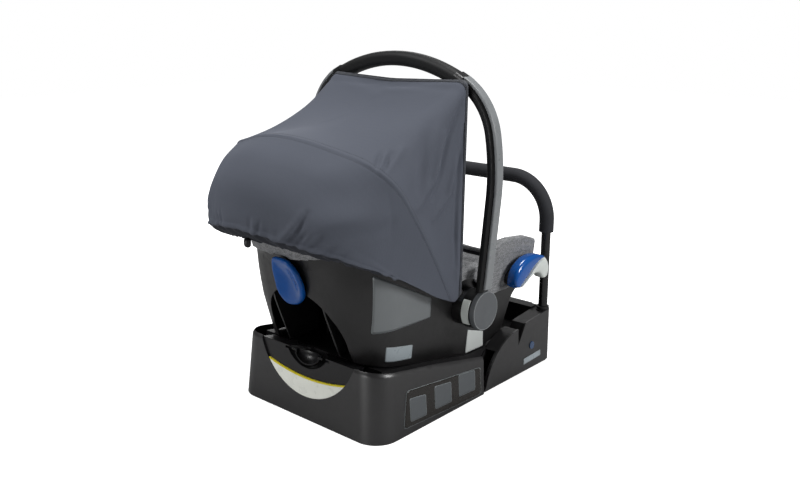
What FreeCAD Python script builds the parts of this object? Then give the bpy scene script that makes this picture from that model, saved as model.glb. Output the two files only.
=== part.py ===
"""Infant car seat: a rear-facing infant carrier with carry handle and sun canopy, on its vehicle base.

Frame: X across the seat, -Y towards the baby's head, +Y towards the feet, +Z up, in millimetres.
The origin is on the underside of the base, on the centre plane.
"""
import FreeCAD, Part
import math
import os

V = FreeCAD.Vector

# ---- general ----
WALL = 3.5                # moulded wall of the base covers
FIT = 0.4                 # gap between covers of one body
SOFT_GAP = 0.4            # gap between a soft part and its neighbour
SLIP = 0.1                # radial gap of a fixed piece in its seat

# ---- base ----
BASE_HEAD_Y = -252.0
BASE_FOOT_Y = 266.0
BASE_HALF_W = 188.0
BASE_REACH = BASE_HALF_W + 20.0   # half width of the blocks that trim the base
BASE_OVER_Z = 200.0       # above everything in the base
BASE_DRAFT = 0.085        # inward lean of the base walls at the head end, mm per mm of height
BASE_DRAFT_FOOT = 0.008   # the same at the foot end
BASE_CORNER_HEAD = 46.0
BASE_CORNER_FOOT = 12.0
SKIRT_END_Y = 30.0        # where the front skirt stops
RIM_HEAD_Z = 137.0        # top of the skirt at the head end
RIM_SLOPE = 0.195         # fall of the skirt's top towards the feet
RIM_WIDTH = 30.0          # from the footprint edge to the rim's inner edge
RIM_ROUND = 14.0
FLOOR_T = 4.0
DECK_DROP = 8.0           # deck surface below the skirt's rim line
DECK_LOW_Z = 74.0
ARC_R = 130.0             # big arc in the head-end face
ARC_LOW_Z = 42.0
CRESCENT_TIP_Z = 88.0
CRESCENT_MID_Z = 76.0
LINE_W = 3.0
FASCIA_DEPTH = 40.0
DECK_HEAD_Y = BASE_HEAD_Y + FASCIA_DEPTH + 6.0
DECK_LEVEL_Y = BASE_HEAD_Y + (RIM_HEAD_Z - DECK_DROP - DECK_LOW_Z) / RIM_SLOPE   # where the deck turns level
CARRIER_CLEAR_Y = -243.0  # behind this the fascia drops to deck height
POCKET_X = 52.0           # half width of the finger pocket
POCKET_R = 27.0
POCKET_Y = -236.0
POCKET_Z = 122.0
PADDLE_PIN_R = 3.0
TOWER_IN_X = BASE_HALF_W - 36.0   # inner face of each tower
TOWER_TOP_Z = 117.0
SWOOP_FOOT = (38.0, 12.0)     # the tower's side: foot of the sweep up from the skirt, as (y, z)
SWOOP_MID = (78.0, 72.0)
SWOOP_TOP = (147.0, 101.0)    # top of the sweep, at the belt notch
NOTCH_LOW_Z = 66.0            # bottom of the V of the belt notch
NOTCH_END = (172.0, 107.0)    # where the notch's slope meets the tower's top
PANEL_T = 3.5
PANEL_WRAP = 12.0             # how far each tower panel wraps round its foot corner
LEVEL_R = 8.0                 # round level window in each tower panel
LEVEL_Y = BASE_FOOT_Y - 71.0
LEVEL_Z = 53.0
LEVEL_PROUD = 0.6
LEVEL_SEAT = 1.5
FOOT_WALL_T = 26.0            # depth of the wall between the towers
GRIP_PAD_X = 120.0            # rubber pads under the base
GRIP_PAD_Y = (-190.0, 200.0)
GRIP_PAD_LONG = 34.0          # half sizes
GRIP_PAD_WIDE = 14.0
GRIP_PAD_CORNER = 8.0
GRIP_PAD_T = 2.0

# ---- rebound bar ----
BAR_INSET = 14.0          # bar's axis inside the footprint's edges
BAR_X = BASE_HALF_W - BAR_INSET
BAR_Y = BASE_FOOT_Y - BAR_INSET
BAR_R = 9.5
BAR_TOP_Z = 390.0
BAR_BEND_R = 84.0
FOAM_R = 15.0
FOAM_END_Z = 283.0
BAR_SOCKET_DEPTH = 60.0
BAR_SOCKET_WALL = 5.0
COLLAR_T = 3.5
COLLAR_H = 5.0

# ---- carrier shell ----
SHELL_WALL = 4.0
SHELL_HEAD_Y0 = -238.0    # head wall at SHELL_REF_Z
SHELL_REF_Z = 120.0
SHELL_HEAD_LEAN = 0.48
SHELL_FOOT_Y = 226.0
SHELL_HALF_W0 = 157.0     # half width at SHELL_REF_Z, at the feet
SHELL_SIDE_LEAN = 0.173
SHELL_TAPER0 = 9.0        # how much narrower the head end is, at SHELL_REF_Z
SHELL_TAPER_LEAN = 0.062
ARCH_HALF_W = 104.0
ARCH_TOP_Z = 252.0
SEAT_GAP = 0.5            # carrier skirt above the base deck

# ---- handle ----
HUB_Y = -9.0
HUB_Z = 189.0
HUB_R = 37.5
HUB_IN_X = 184.0
HUB_OUT_X = 205.0
CAP_T = 10.0
PIN_R = 8.0
PIN_CLEAR = 0.06
HANDLE_APEX_Z = 636.0
HANDLE_TOP_R = 330.0
HANDLE_SHOULDER_R = 120.0
HANDLE_SIDE_R = 420.0
GRIP_HALF_DEG = 28.0
SHOULDER_END_DEG = 80.0
SIDE_END_DEG = 95.5
CORE_RADIAL = 18.0
CORE_DEPTH = 24.0
CORE_CORNER = 7.0
TRIM_RADIAL = 6.0
TRIM_DEPTH = 20.0
GRIP_SIZE = 27.0
CLIP_DEG = 3.0            # stretch of the top arc that each canopy clip takes
CLIP_GROW = 5.0
BUTTON_W = 15.0
BUTTON_LOW = -22.0
BUTTON_HIGH = 24.0
BUTTON_DEPTH = 7.0
BUTTON_PROUD = 1.5
BUTTON_TRAVEL = 5.0

# ---- belt hook at the head ----
LEAF_T = 12.0
LEAF_OFF = 2.0            # between the head wall's plane and the leaf's back
LEAF_DISH_R = 150.0
LEAF_DISH_DEPTH = 6.0
STEM_IN = 18.0            # how far the stem reaches in behind that plane

# ---- canopy ----
BOW_LEAN_DEG = 41.5
BOW_R = 2.5
BOW_APEX = 436.0          # from the hub axis, in the bow's plane
BOW_BENDS = [(280.0, 20.0), (700.0, 24.0), (75.0, 91.0)]     # radius, and the angle it bends on to
BOW_LOW = 56.0
CANOPY_T = 2.5
# arches of the hood, front edge first: foot x, y, z; apex y, z; half width at the shoulders;
# rise of the crown over the shoulders; radius of the shoulders; radius of the crown
HOOD_ARCHES = [
    (196.0, -60, 232, -27, 600, 177, -6, 14, 500),
    (195.0, -68, 224, -112, 553, 177, -2, 45, 500),
    (193.5, -76, 219, -212, 530, 186, 16, 75, 400),
    (192.0, -84, 221, -309, 534, 198, 66, 84, 280),
    (192.0, -126, 240, -378, 503, 188, 80, 130, 200),
    (191.0, -180, 272, -416, 442, 184, 84, 150, 160),
    (189.0, -230, 300, -413, 388, 180, 70, 140, 160),
    (186.0, -262, 316, -380, 363, 178, 44, 76, 160),
]

# ---- seat fabrics and harness ----
COVER_T = 4.0             # fabric skirt outside the shell's flange
COVER_IN = 10.0           # how far the rim roll reaches over the inside
COVER_TOP = [(-380, 384), (-330, 359), (-250, 327), (-150, 291), (-60, 268), (10, 268), (65, 297), (120, 300), (170, 290),
             (215, 268), (250, 256)]
COVER_LOW = [(-380, 330), (-330, 306), (-250, 276), (-150, 252), (-60, 240), (0, 240), (30, 205), (80, 192), (150, 200),
             (200, 215), (250, 225)]
PAD_T = 15.0
STRAP_W = 36.0
STRAP_T = 2.4
HOOK_OUT_X = 218.0
HOOK_PLATE_X = 192.0


# ---------- helpers ----------
def yz(y, z):
    return V(0, y, z)


def outline(points, radii):
    """Closed flat wire through the points, each corner rounded by its own radius (0 leaves it sharp)."""
    count = len(points)
    corners = []
    for i, p in enumerate(points):
        if radii[i] == 0:
            corners.append((p, None, p))
            continue
        back = (points[i - 1] - p).normalize()
        ahead = (points[(i + 1) % count] - p).normalize()
        half = back.getAngle(ahead) / 2
        reach = radii[i] / math.tan(half)
        bisector = (back + ahead).normalize()
        middle = p + bisector * (radii[i] / math.sin(half) - radii[i])
        corners.append((p + back * reach, middle, p + ahead * reach))
    edges = []
    for i, (start, middle, end) in enumerate(corners):
        if middle:
            edges.append(Part.Arc(start, middle, end).toShape())
        next_start = corners[(i + 1) % count][0]
        if (next_start - end).Length > 1e-6:
            edges.append(Part.makeLine(end, next_start))
    return Part.Wire(edges)


def slab(wire, direction):
    return Part.Face(wire).extrude(direction)


def across(wire, half):
    """A closed wire in the YZ plane, extruded to both sides of the centre plane."""
    return slab(wire.translated(V(-half, 0, 0)), V(2 * half, 0, 0))


def box(x0, x1, y0, y1, z0, z1):
    return Part.makeBox(x1 - x0, y1 - y0, z1 - z0, V(x0, y0, z0))


def rod(radius, start, end):
    axis = end - start
    return Part.makeCylinder(radius, axis.Length, start, axis)


def mirrored(shape):
    return shape.mirror(V(0, 0, 0), V(1, 0, 0))


def loft(wires, ruled=True):
    return Part.makeLoft(wires, True, ruled)


def run_along(edges, section_at):
    """A bar of constant section along tangent lines and arcs: each run is extruded or turned."""
    runs = []
    for edge in edges:
        start = edge.valueAt(edge.FirstParameter)
        along = edge.tangentAt(edge.FirstParameter)
        face = section_at(start, along)
        if isinstance(edge.Curve, Part.Circle):
            sweep = math.degrees(edge.LastParameter - edge.FirstParameter)
            runs.append(face.revolve(edge.Curve.Center, edge.Curve.Axis, sweep))
        else:
            runs.append(face.extrude(edge.valueAt(edge.LastParameter) - start))
    return runs[0].fuse(runs[1:]) if len(runs) > 1 else runs[0]


def round_section(radius):
    return lambda start, along: Part.Face(Part.Wire(Part.makeCircle(radius, start, along)))


def sleeve(outer, inner):
    """Section of a sleeve: one section less another."""
    return lambda start, along: outer(start, along).cut(inner(start, along)).Faces[0]


def bar_section(radial, depth, corner):
    """Rounded rectangle, square to a path in a plane across the seat: radial in the plane, depth along Y."""
    def at(start, along):
        out = along.cross(V(0, 1, 0)).normalize()
        side = V(0, 1, 0)
        points = [start + out * a + side * b for a, b in
                  ((-radial / 2, -depth / 2), (radial / 2, -depth / 2), (radial / 2, depth / 2), (-radial / 2, depth / 2))]
        return Part.Face(outline(points, [corner] * 4))
    return at


def plan(half_head, half_foot, y_head, y_foot, r_head, r_foot, z):
    """Horizontal outline with its own corner radii at the head end and at the foot end."""
    points = [V(-half_head, y_head, z), V(half_head, y_head, z), V(half_foot, y_foot, z), V(-half_foot, y_foot, z)]
    return outline(points, [r_head, r_head, r_foot, r_foot])


def spline(points):
    curve = Part.BSplineCurve()
    curve.interpolate(points)
    return curve.toShape()


def band_under(points, depth, half):
    """A sheet of the given depth under a smooth curve in the YZ plane, extruded across."""
    top = spline([yz(*p) for p in points])
    low = spline([yz(p[0], p[1] - depth) for p in points])
    first, last = points[0], points[-1]
    sides = [
        Part.makeLine(yz(first[0], first[1] - depth), yz(*first)),
        Part.makeLine(yz(*last), yz(last[0], last[1] - depth)),
    ]
    return across(Part.Wire(Part.__sortEdges__([top, low] + sides)), half)


def solid_of(shape):
    """The shape as one clean solid or compound of solids."""
    clean = shape.removeSplitter()
    solids = clean.Solids
    return solids[0] if len(solids) == 1 else Part.makeCompound(solids)


def largest(shape):
    """The main solid of a trimmed shape, without the slivers left at its edges."""
    return max(shape.Solids, key=lambda part: part.Volume)


def save(name, shape):
    made = solid_of(shape)
    print(name, len(made.Solids), "solid(s)", round(made.Volume / 1000, 1), "cm3", made.isValid())
    made.exportStep(os.path.join("parts", name + ".step"))


# ---------- base ----------
def base_hull(inset, z0=0.0, z1=170.0):
    """The base's outer form, moved inwards by inset: drafted walls with rounded corners."""
    wires = []
    for z in (z0, z1):
        lean = BASE_DRAFT * z + inset
        wires.append(plan(BASE_HALF_W - lean, BASE_HALF_W - BASE_DRAFT_FOOT * z - inset,
                          BASE_HEAD_Y + lean, BASE_FOOT_Y - inset,
                          BASE_CORNER_HEAD - inset, max(BASE_CORNER_FOOT - inset, 2.0), z))
    return loft(wires)


def rim_z(y):
    """Height of the skirt's top edge at a place along the seat."""
    return RIM_HEAD_Z - RIM_SLOPE * (y - BASE_HEAD_Y)


def below_rim(drop, y_end):
    """Everything below the skirt's sloping top, from ahead of the head end back to y_end."""
    y0 = BASE_HEAD_Y - 20
    points = [yz(y0, -5), yz(y0, rim_z(y0) - drop), yz(y_end, rim_z(y_end) - drop), yz(y_end, -5)]
    return across(outline(points, [0] * 4), BASE_REACH)


def head_disc(radius, y_end, z_centre):
    """A cylinder along Y at the head end: the arc of the recess in the face."""
    return rod(radius, V(0, BASE_HEAD_Y - 30, z_centre), V(0, y_end, z_centre))


def arc_centre_z():
    return ARC_LOW_Z + ARC_R


def base_skirt():
    outer = base_hull(0).common(below_rim(0, SKIRT_END_Y))

    def on_rim(edge):
        ends = [v.Point for v in edge.Vertexes]
        return all(abs(p.z - rim_z(p.y)) < 0.01 for p in ends) and min(p.y for p in ends) < SKIRT_END_Y - 1
    outer = outer.makeFillet(RIM_ROUND, [e for e in outer.Edges if on_rim(e)])
    inner = base_hull(WALL, -1.0).common(below_rim(WALL, SKIRT_END_Y + 1))
    well = loft([plan(BASE_HALF_W - RIM_WIDTH, BASE_HALF_W - RIM_WIDTH, BASE_HEAD_Y + RIM_WIDTH, SKIRT_END_Y + 5,
                      30, 2, z) for z in (-1.0, 200.0)])
    arc = head_disc(ARC_R, BASE_HEAD_Y + RIM_WIDTH + 20, arc_centre_z())
    return largest(outer.cut(inner).cut(well).cut(arc))


def crescent_cut(drop):
    """The region below the shallow arc that bounds the pale crescent from above."""
    tip_x = math.sqrt(ARC_R ** 2 - (arc_centre_z() - CRESCENT_TIP_Z) ** 2)
    sag = CRESCENT_TIP_Z - CRESCENT_MID_Z
    radius = (tip_x ** 2 + sag ** 2) / (2 * sag)
    y0, y1 = BASE_HEAD_Y - 30, BASE_HEAD_Y + 90
    return box(-BASE_REACH, BASE_REACH, y0, y1, -5, CRESCENT_TIP_Z - drop).cut(
        rod(radius, V(0, y0 - 1, CRESCENT_MID_Z + radius - drop), V(0, y1 + 1, CRESCENT_MID_Z + radius - drop)))


def front_layer(inset, depth, radius):
    layer = base_hull(inset).cut(base_hull(inset + depth, -1.0, 171.0))
    return layer.common(head_disc(radius, BASE_HEAD_Y + 60, arc_centre_z()))


def base_crescent():
    return front_layer(1.0, 4.0, ARC_R - FIT).common(crescent_cut(0))


def base_crescent_line():
    layer = front_layer(1.0, 4.0, ARC_R - FIT)
    return layer.common(crescent_cut(-LINE_W)).cut(crescent_cut(-0.02))


def pocket(grow=0.0):
    """The finger pocket: a scoop, round about the paddle's pin line, that opens forwards and upwards."""
    half, reach = POCKET_X + grow, POCKET_R + grow
    start, top, end = V(-half, POCKET_Y, POCKET_Z), V(0, POCKET_Y, POCKET_Z + reach), V(half, POCKET_Y, POCKET_Z)
    profile = Part.Face(Part.Wire([Part.Arc(start, top, end).toShape(), Part.makeLine(end, start)]))
    return profile.revolve(V(0, POCKET_Y, POCKET_Z), V(1, 0, 0), 360)


def paddle_pin(grow=0.0):
    return rod(PADDLE_PIN_R + grow, V(-POCKET_X - 6, POCKET_Y, POCKET_Z), V(POCKET_X + 6, POCKET_Y, POCKET_Z))


def release_paddle():
    """A curved paddle that lines the scoop and turns about the scoop's own axis."""
    cup = pocket(-0.6)
    skin = cup.cut(pocket(-3.6))
    reach = box(-POCKET_X + 8, POCKET_X - 8, POCKET_Y - 60, POCKET_Y + 60, POCKET_Z - 60, POCKET_Z)
    ears = cup.common(box(-POCKET_X + 8, -POCKET_X + 12, POCKET_Y - 60, POCKET_Y + 60, POCKET_Z - 60, POCKET_Z + 3))
    ears = ears.fuse(mirrored(ears))
    sweep = outline([yz(POCKET_Y, POCKET_Z + 4), yz(POCKET_Y - 20, POCKET_Z - 60), yz(POCKET_Y + 50, POCKET_Z - 60),
                     yz(POCKET_Y + 40, POCKET_Z - 12)], [0] * 4)
    sweep = across(sweep, POCKET_X)
    pins = paddle_pin().cut(box(-POCKET_X + 12, POCKET_X - 12, -400, 0, 0, 300))
    return skin.common(reach).common(sweep).fuse(ears.common(sweep)).fuse(pins)


def base_fascia():
    block = base_hull(3.5).cut(base_hull(3.5 + FASCIA_DEPTH, -1.0, 171.0))
    block = block.common(head_disc(ARC_R - FIT, BASE_HEAD_Y + 70, arc_centre_z()))
    block = block.cut(crescent_cut(-LINE_W - 0.3)).common(below_rim(5.0, 0))
    half = BASE_HALF_W - RIM_WIDTH
    keep = box(-half, half, BASE_HEAD_Y - 5, BASE_HEAD_Y + FASCIA_DEPTH, 0, BASE_OVER_Z)
    y_head, y_foot = CARRIER_CLEAR_Y, BASE_HEAD_Y + 2 * FASCIA_DEPTH
    over_deck = outline([yz(y_head, rim_z(y_head) - DECK_DROP), yz(y_head, BASE_OVER_Z), yz(y_foot, BASE_OVER_Z),
                         yz(y_foot, rim_z(y_foot) - DECK_DROP)], [0] * 4)
    under_carrier = across(over_deck, BASE_REACH)
    return block.common(keep).cut(under_carrier).cut(pocket()).cut(paddle_pin(PIN_CLEAR))


def base_floor():
    layer = box(-BASE_REACH, BASE_REACH, BASE_HEAD_Y - 5, BASE_FOOT_Y + 5, 0, FLOOR_T)
    return base_hull(WALL + FIT).common(layer).cut(grip_pads())


def grip_pads():
    """Rubber pads let into the underside."""
    long, wide = GRIP_PAD_LONG, GRIP_PAD_WIDE
    pads = []
    for x in (-GRIP_PAD_X, GRIP_PAD_X):
        for y in GRIP_PAD_Y:
            corners = [V(x - long, y - wide, 0), V(x + long, y - wide, 0), V(x + long, y + wide, 0), V(x - long, y + wide, 0)]
            pads.append(slab(outline(corners, [GRIP_PAD_CORNER] * 4), V(0, 0, GRIP_PAD_T)))
    return Part.makeCompound(pads)


def deck_profile(drop):
    """Closed YZ profile under the deck surface, which falls from the head end and then runs level."""
    y0, y1 = DECK_HEAD_Y, BASE_FOOT_Y - 10
    points = [yz(y0, FLOOR_T), yz(y0, rim_z(y0) - DECK_DROP - drop), yz(DECK_LEVEL_Y, DECK_LOW_Z - drop),
              yz(y1, DECK_LOW_Z - drop), yz(y1, FLOOR_T)]
    return outline(points, [0, 0, 0, 0, 0])


def swoop_profile(drop):
    """Closed YZ profile of a tower side: the sweep up from the skirt, the belt notch and the sloping top."""
    y_end = BASE_FOOT_Y - BASE_CORNER_FOOT * 0.3
    start = yz(SKIRT_END_Y + 2, FLOOR_T)
    peak = yz(SWOOP_TOP[0], SWOOP_TOP[1] - drop)
    sweep = Part.Arc(yz(*SWOOP_FOOT), yz(*SWOOP_MID), peak).toShape()
    corners = [peak, yz(SWOOP_TOP[0], NOTCH_LOW_Z), yz(NOTCH_END[0], NOTCH_END[1] - drop), yz(y_end, TOWER_TOP_Z - drop),
               yz(y_end, FLOOR_T), start, yz(*SWOOP_FOOT)]
    return Part.Wire([sweep] + [Part.makeLine(a, b) for a, b in zip(corners, corners[1:])])


def tower(side):
    """One tower: a drafted block at a foot corner, open underneath, that carries a leg of the bar."""
    drop = 1.5
    y_end = BASE_FOOT_Y - WALL
    block = base_hull(PANEL_T + FIT).common(across(swoop_profile(drop), BASE_REACH))
    block = block.common(box(TOWER_IN_X, BASE_REACH, SKIRT_END_Y, BASE_FOOT_Y, 0, BASE_OVER_Z))
    inside = base_hull(PANEL_T + FIT + WALL).common(across(swoop_profile(drop + WALL), BASE_REACH))
    inside = inside.common(box(TOWER_IN_X + WALL, BASE_REACH, SKIRT_END_Y + 8, y_end, -1, BASE_OVER_Z))
    low, high = TOWER_TOP_Z - BAR_SOCKET_DEPTH - WALL, TOWER_TOP_Z - drop
    socket = rod(BAR_R + BAR_SOCKET_WALL, V(BAR_X, BAR_Y, low), V(BAR_X, BAR_Y, high)).common(base_hull(PANEL_T + FIT))
    solid = block.cut(inside).fuse(socket)
    return solid if side > 0 else mirrored(solid)


def base_chassis():
    deck = across(deck_profile(0), TOWER_IN_X + 1)
    hollow = across(deck_profile(WALL), TOWER_IN_X - WALL)
    hollow = hollow.common(box(-TOWER_IN_X, TOWER_IN_X, DECK_HEAD_Y + WALL, BASE_FOOT_Y - 10 - WALL, -1, BASE_OVER_Z))
    deck = deck.cut(hollow).common(base_hull(WALL + FIT))
    y_in, half = BASE_FOOT_Y - FOOT_WALL_T, TOWER_IN_X + 1
    foot_wall = base_hull(PANEL_T + FIT).common(box(-half, half, y_in, BASE_FOOT_Y, FLOOR_T, TOWER_TOP_Z))
    half = TOWER_IN_X - WALL
    foot_wall = foot_wall.cut(box(-half, half, y_in + WALL, BASE_FOOT_Y - 2 * WALL, 0, TOWER_TOP_Z - WALL))
    solid = deck.fuse([foot_wall, tower(1), tower(-1)])
    for x in (-BAR_X, BAR_X):
        solid = solid.cut(rod(BAR_R + SLIP, V(x, BAR_Y, TOWER_TOP_Z - BAR_SOCKET_DEPTH), V(x, BAR_Y, BASE_OVER_Z)))
    for side in (1, -1):
        solid = solid.cut(level_window(side, SLIP))
    return solid


def tower_panel(side):
    """The outer side panel of a tower: a drafted skin that wraps round the foot corner."""
    skin = base_hull(0).cut(base_hull(PANEL_T, -1.0, 171.0)).common(across(swoop_profile(0), BASE_REACH))
    x0, y0 = TOWER_IN_X - PANEL_WRAP, SKIRT_END_Y + 1
    skin = skin.common(box(x0, BASE_REACH, y0, BASE_FOOT_Y + 5, FLOOR_T, BASE_OVER_Z))
    skin = skin.cut(level_window(1, SLIP)).cut(rod(BAR_R + SLIP, V(BAR_X, BAR_Y, 0), V(BAR_X, BAR_Y, BASE_OVER_Z)))
    return skin if side > 0 else mirrored(skin)


def foot_panel():
    """The back cover of the base between the two tower panels."""
    skin = base_hull(0).cut(base_hull(PANEL_T, -1.0, 171.0))
    half = TOWER_IN_X - PANEL_WRAP - FIT
    return skin.common(box(-half, half, BASE_FOOT_Y - 2 * WALL, BASE_FOOT_Y + 5, FLOOR_T, TOWER_TOP_Z))


# ---------- rebound bar ----------
def bar_path(z_start):
    """Inverted U in the plane of the bar, from one leg's foot to the other's."""
    r, top = BAR_BEND_R, BAR_TOP_Z
    bend = r * math.sin(math.radians(45))
    left, right = -BAR_X, BAR_X

    def at(x, z):
        return V(x, BAR_Y, z)
    edges = [
        Part.makeLine(at(left, z_start), at(left, top - r)),
        Part.Arc(at(left, top - r), at(left + r - bend, top - r + bend), at(left + r, top)).toShape(),
        Part.makeLine(at(left + r, top), at(right - r, top)),
        Part.Arc(at(right - r, top), at(right - r + bend, top - r + bend), at(right, top - r)).toShape(),
        Part.makeLine(at(right, top - r), at(right, z_start)),
    ]
    return edges


def rebound_bar():
    return run_along(bar_path(TOWER_TOP_Z - BAR_SOCKET_DEPTH), round_section(BAR_R))


def rebound_foam():
    return run_along(bar_path(FOAM_END_Z), sleeve(round_section(FOAM_R), round_section(BAR_R + SLIP)))


def bar_collars():
    rings = []
    for x in (-BAR_X, BAR_X):
        low, high = V(x, BAR_Y, TOWER_TOP_Z + SLIP), V(x, BAR_Y, TOWER_TOP_Z + COLLAR_H)
        rings.append(rod(BAR_R + COLLAR_T, low, high).cut(rod(BAR_R + SLIP, low, high)))
    return Part.makeCompound(rings)


# ---------- carrier shell ----------
def shell_hull(inset, z0=60.0, z1=460.0):
    """The carrier's outer form moved inwards by inset: walls that flare upwards, rounded at the head."""
    wires = []
    for z in (z0, z1):
        rise = z - SHELL_REF_Z
        half_foot = SHELL_HALF_W0 + SHELL_SIDE_LEAN * rise - inset
        half_head = half_foot - SHELL_TAPER0 - SHELL_TAPER_LEAN * rise
        y_head = SHELL_HEAD_Y0 - SHELL_HEAD_LEAN * rise + inset
        wires.append(plan(half_head, half_foot, y_head, SHELL_FOOT_Y - inset,
                          58 + 0.27 * rise - inset, 60 - inset, z))
    return loft(wires)


RIM_LINE = [(-380, 365), (-330, 341), (-250, 311), (-150, 276), (-60, 252), (20, 246), (100, 252), (180, 256), (250, 250)]
FOOT_LINE = [(131, 92), (148, 172), (226, 238)]
PAN_LINE = [(-352, 352), (-250, 268), (-150, 190), (-60, 140), (10, 122), (70, 124), (122, 152), (168, 200), (225, 243)]


def rim_region(drop, low=-100.0):
    """Everything under the rim line, lowered by drop."""
    top = spline([yz(y, z - drop) for y, z in RIM_LINE])
    (y0, z0), (y1, z1) = RIM_LINE[0], RIM_LINE[-1]
    edges = [top, Part.makeLine(yz(y1, z1 - drop), yz(y1, low)), Part.makeLine(yz(y1, low), yz(y0, low)),
             Part.makeLine(yz(y0, low), yz(y0, z0 - drop))]
    return across(Part.Wire(edges), 260)


def skirt_bottom_z(y):
    return rim_z(y) - DECK_DROP + SEAT_GAP


def shell_silhouette():
    """Side view of the shell: rim, sloped foot end, level and then sloping lower edge."""
    (fy0, fz0), (fy1, fz1), (fy2, fz2) = FOOT_LINE
    points = [yz(-420, skirt_bottom_z(-420)), yz(DECK_LEVEL_Y, DECK_LOW_Z + SEAT_GAP),
              yz(DECK_LEVEL_Y + 40, DECK_LOW_Z + SEAT_GAP),
              yz(fy0, fz0), yz(fy1, fz1), yz(fy2, fz2), yz(260, fz2), yz(260, 420), yz(-420, 420)]
    return across(outline(points, [0, 30, 30, 14, 40, 0, 0, 0, 0]), 260).common(rim_region(0))


def arch_cut(y_end=-150.0):
    """The arch through the head wall, narrower towards its top."""
    half, top = ARCH_HALF_W, ARCH_TOP_Z
    low = 60.0
    y0 = -420.0
    edges = [
        Part.makeLine(V(half, y0, low), V(half - 6, y0, 150)),
        Part.Arc(V(half - 6, y0, 150), V(half * 0.66, y0, top - 26), V(0, y0, top)).toShape(),
        Part.Arc(V(0, y0, top), V(-half * 0.66, y0, top - 26), V(-half + 6, y0, 150)).toShape(),
        Part.makeLine(V(-half + 6, y0, 150), V(-half, y0, low)),
        Part.makeLine(V(-half, y0, low), V(half, y0, low)),
    ]
    return slab(Part.Wire(edges), V(0, y_end - y0, 0))


def hub_boss(side, grow=0.0):
    x0, x1 = SHELL_HALF_W0 + 3, HUB_IN_X - 1.0 + grow
    boss = rod(HUB_R - 1.5 + grow, V(x0, HUB_Y, HUB_Z), V(x1, HUB_Y, HUB_Z))
    return boss if side > 0 else mirrored(boss)


LATCH_Y = (-120.0, 60.0)
LATCH_HALF = 78.0
LATCH_R = 6.0
RIB_X = 66.0


def latch_z(y):
    return max(rim_z(y) - DECK_DROP, DECK_LOW_Z) + 18.0


def carrier_shell():
    skin = shell_hull(0).cut(shell_hull(SHELL_WALL, 59.0, 461.0))
    pan = band_under(PAN_LINE, SHELL_WALL + 1, 250).common(shell_hull(0.5))
    (fy0, fz0), (fy1, fz1), (fy2, fz2) = FOOT_LINE
    apron = [yz(fy0, fz0), yz(fy1, fz1), yz(fy2, fz2), yz(fy2 - 4, fz2), yz(fy1 - 4, fz1 + 2), yz(fy0 - 4, fz0)]
    apron = across(outline(apron, [0, 40, 0, 0, 36, 0]), 250).common(shell_hull(0.5))
    body = skin.cut(arch_cut()).fuse([pan, apron]).common(shell_silhouette())
    flange = shell_hull(-5).cut(shell_hull(SHELL_WALL - 1)).common(rim_region(0).cut(rim_region(9)))
    flange = flange.common(box(-260, 260, -420, SHELL_FOOT_Y + 5, 0, 400))
    ribs = []
    for x in (-RIB_X, RIB_X):
        for y in LATCH_Y:
            ribs.append(box(x - 2.5, x + 2.5, y - 24, y + 24, latch_z(y) - 12, 300))
        ribs.append(box(x - 2, x + 2, -300, -170, 130, 330))
    under_pan = band_under([(y, z - 1) for y, z in PAN_LINE], 300, 250).common(shell_hull(1))
    ribs = [r.common(under_pan) for r in ribs]
    solid = body.fuse([flange, hub_boss(1), hub_boss(-1)] + ribs)
    inner = shell_hull(SHELL_WALL, 59.0, 461.0).common(band_under([(y, z + 400) for y, z in PAN_LINE], 400, 150))
    solid = solid.cut(inner.common(box(-148, 148, -400, 300, 0, 500)))
    for y in LATCH_Y:
        solid = solid.cut(rod(LATCH_R + SLIP, V(-LATCH_HALF, y, latch_z(y)), V(LATCH_HALF, y, latch_z(y))))
    for side in (1, -1):
        solid = solid.cut(rod(PIN_R + SLIP, V(side * 150, HUB_Y, HUB_Z), V(side * 220, HUB_Y, HUB_Z)))
    return solid


def latch_bars():
    return Part.makeCompound([rod(LATCH_R, V(-LATCH_HALF, y, latch_z(y)), V(LATCH_HALF, y, latch_z(y)))
                              for y in LATCH_Y])


# ---------- handle ----------
def polar(cx, cz, radius, degrees):
    """Point of the handle plane at an angle measured from straight up, clockwise."""
    a = math.radians(degrees)
    return (cx + radius * math.sin(a), cz + radius * math.cos(a))


def arch_half(apex, bends, low, place, offset=0.0, start_deg=0.0):
    """Right half of an arch: tangent arcs of (radius, end angle) from the apex, then a straight leg to low."""
    centre = (0.0, apex - bends[0][0])
    angle = 0.0
    edges = []
    for i, (radius, end_deg) in enumerate(bends):
        if i > 0:
            before = bends[i - 1][0]
            centre = polar(*centre, before - radius, angle)
        first = max(angle, start_deg)
        if end_deg - first > 0.01:
            ends = [polar(*centre, radius + offset, a) for a in (first, (first + end_deg) / 2, end_deg)]
            edges.append(Part.Arc(*[place(x, z) for x, z in ends]).toShape())
        angle = end_deg
    x, z = polar(*centre, bends[-1][0] + offset, angle)
    slope = math.tan(math.radians(angle - 90))
    edges.append(Part.makeLine(place(x, z), place(x - (z - low) * slope, low)))
    return edges


def handle_path(offset, start_deg, low):
    bends = [(HANDLE_TOP_R, GRIP_HALF_DEG), (HANDLE_SHOULDER_R, SHOULDER_END_DEG), (HANDLE_SIDE_R, SIDE_END_DEG)]
    return arch_half(HANDLE_APEX_Z, bends, low, lambda x, z: V(x, HUB_Y, z), offset, start_deg)


def top_arc(first_deg, last_deg):
    """Stretch of the handle's top arc between two angles from straight up."""
    middle = (first_deg + last_deg) / 2
    ends = [polar(0, HANDLE_APEX_Z - HANDLE_TOP_R, HANDLE_TOP_R, a) for a in (first_deg, middle, last_deg)]
    return [Part.Arc(*[V(x, HUB_Y, z) for x, z in ends]).toShape()]


def core_section(grow=0.0):
    return bar_section(CORE_RADIAL + 2 * grow, CORE_DEPTH + 2 * grow, CORE_CORNER + grow)


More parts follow.
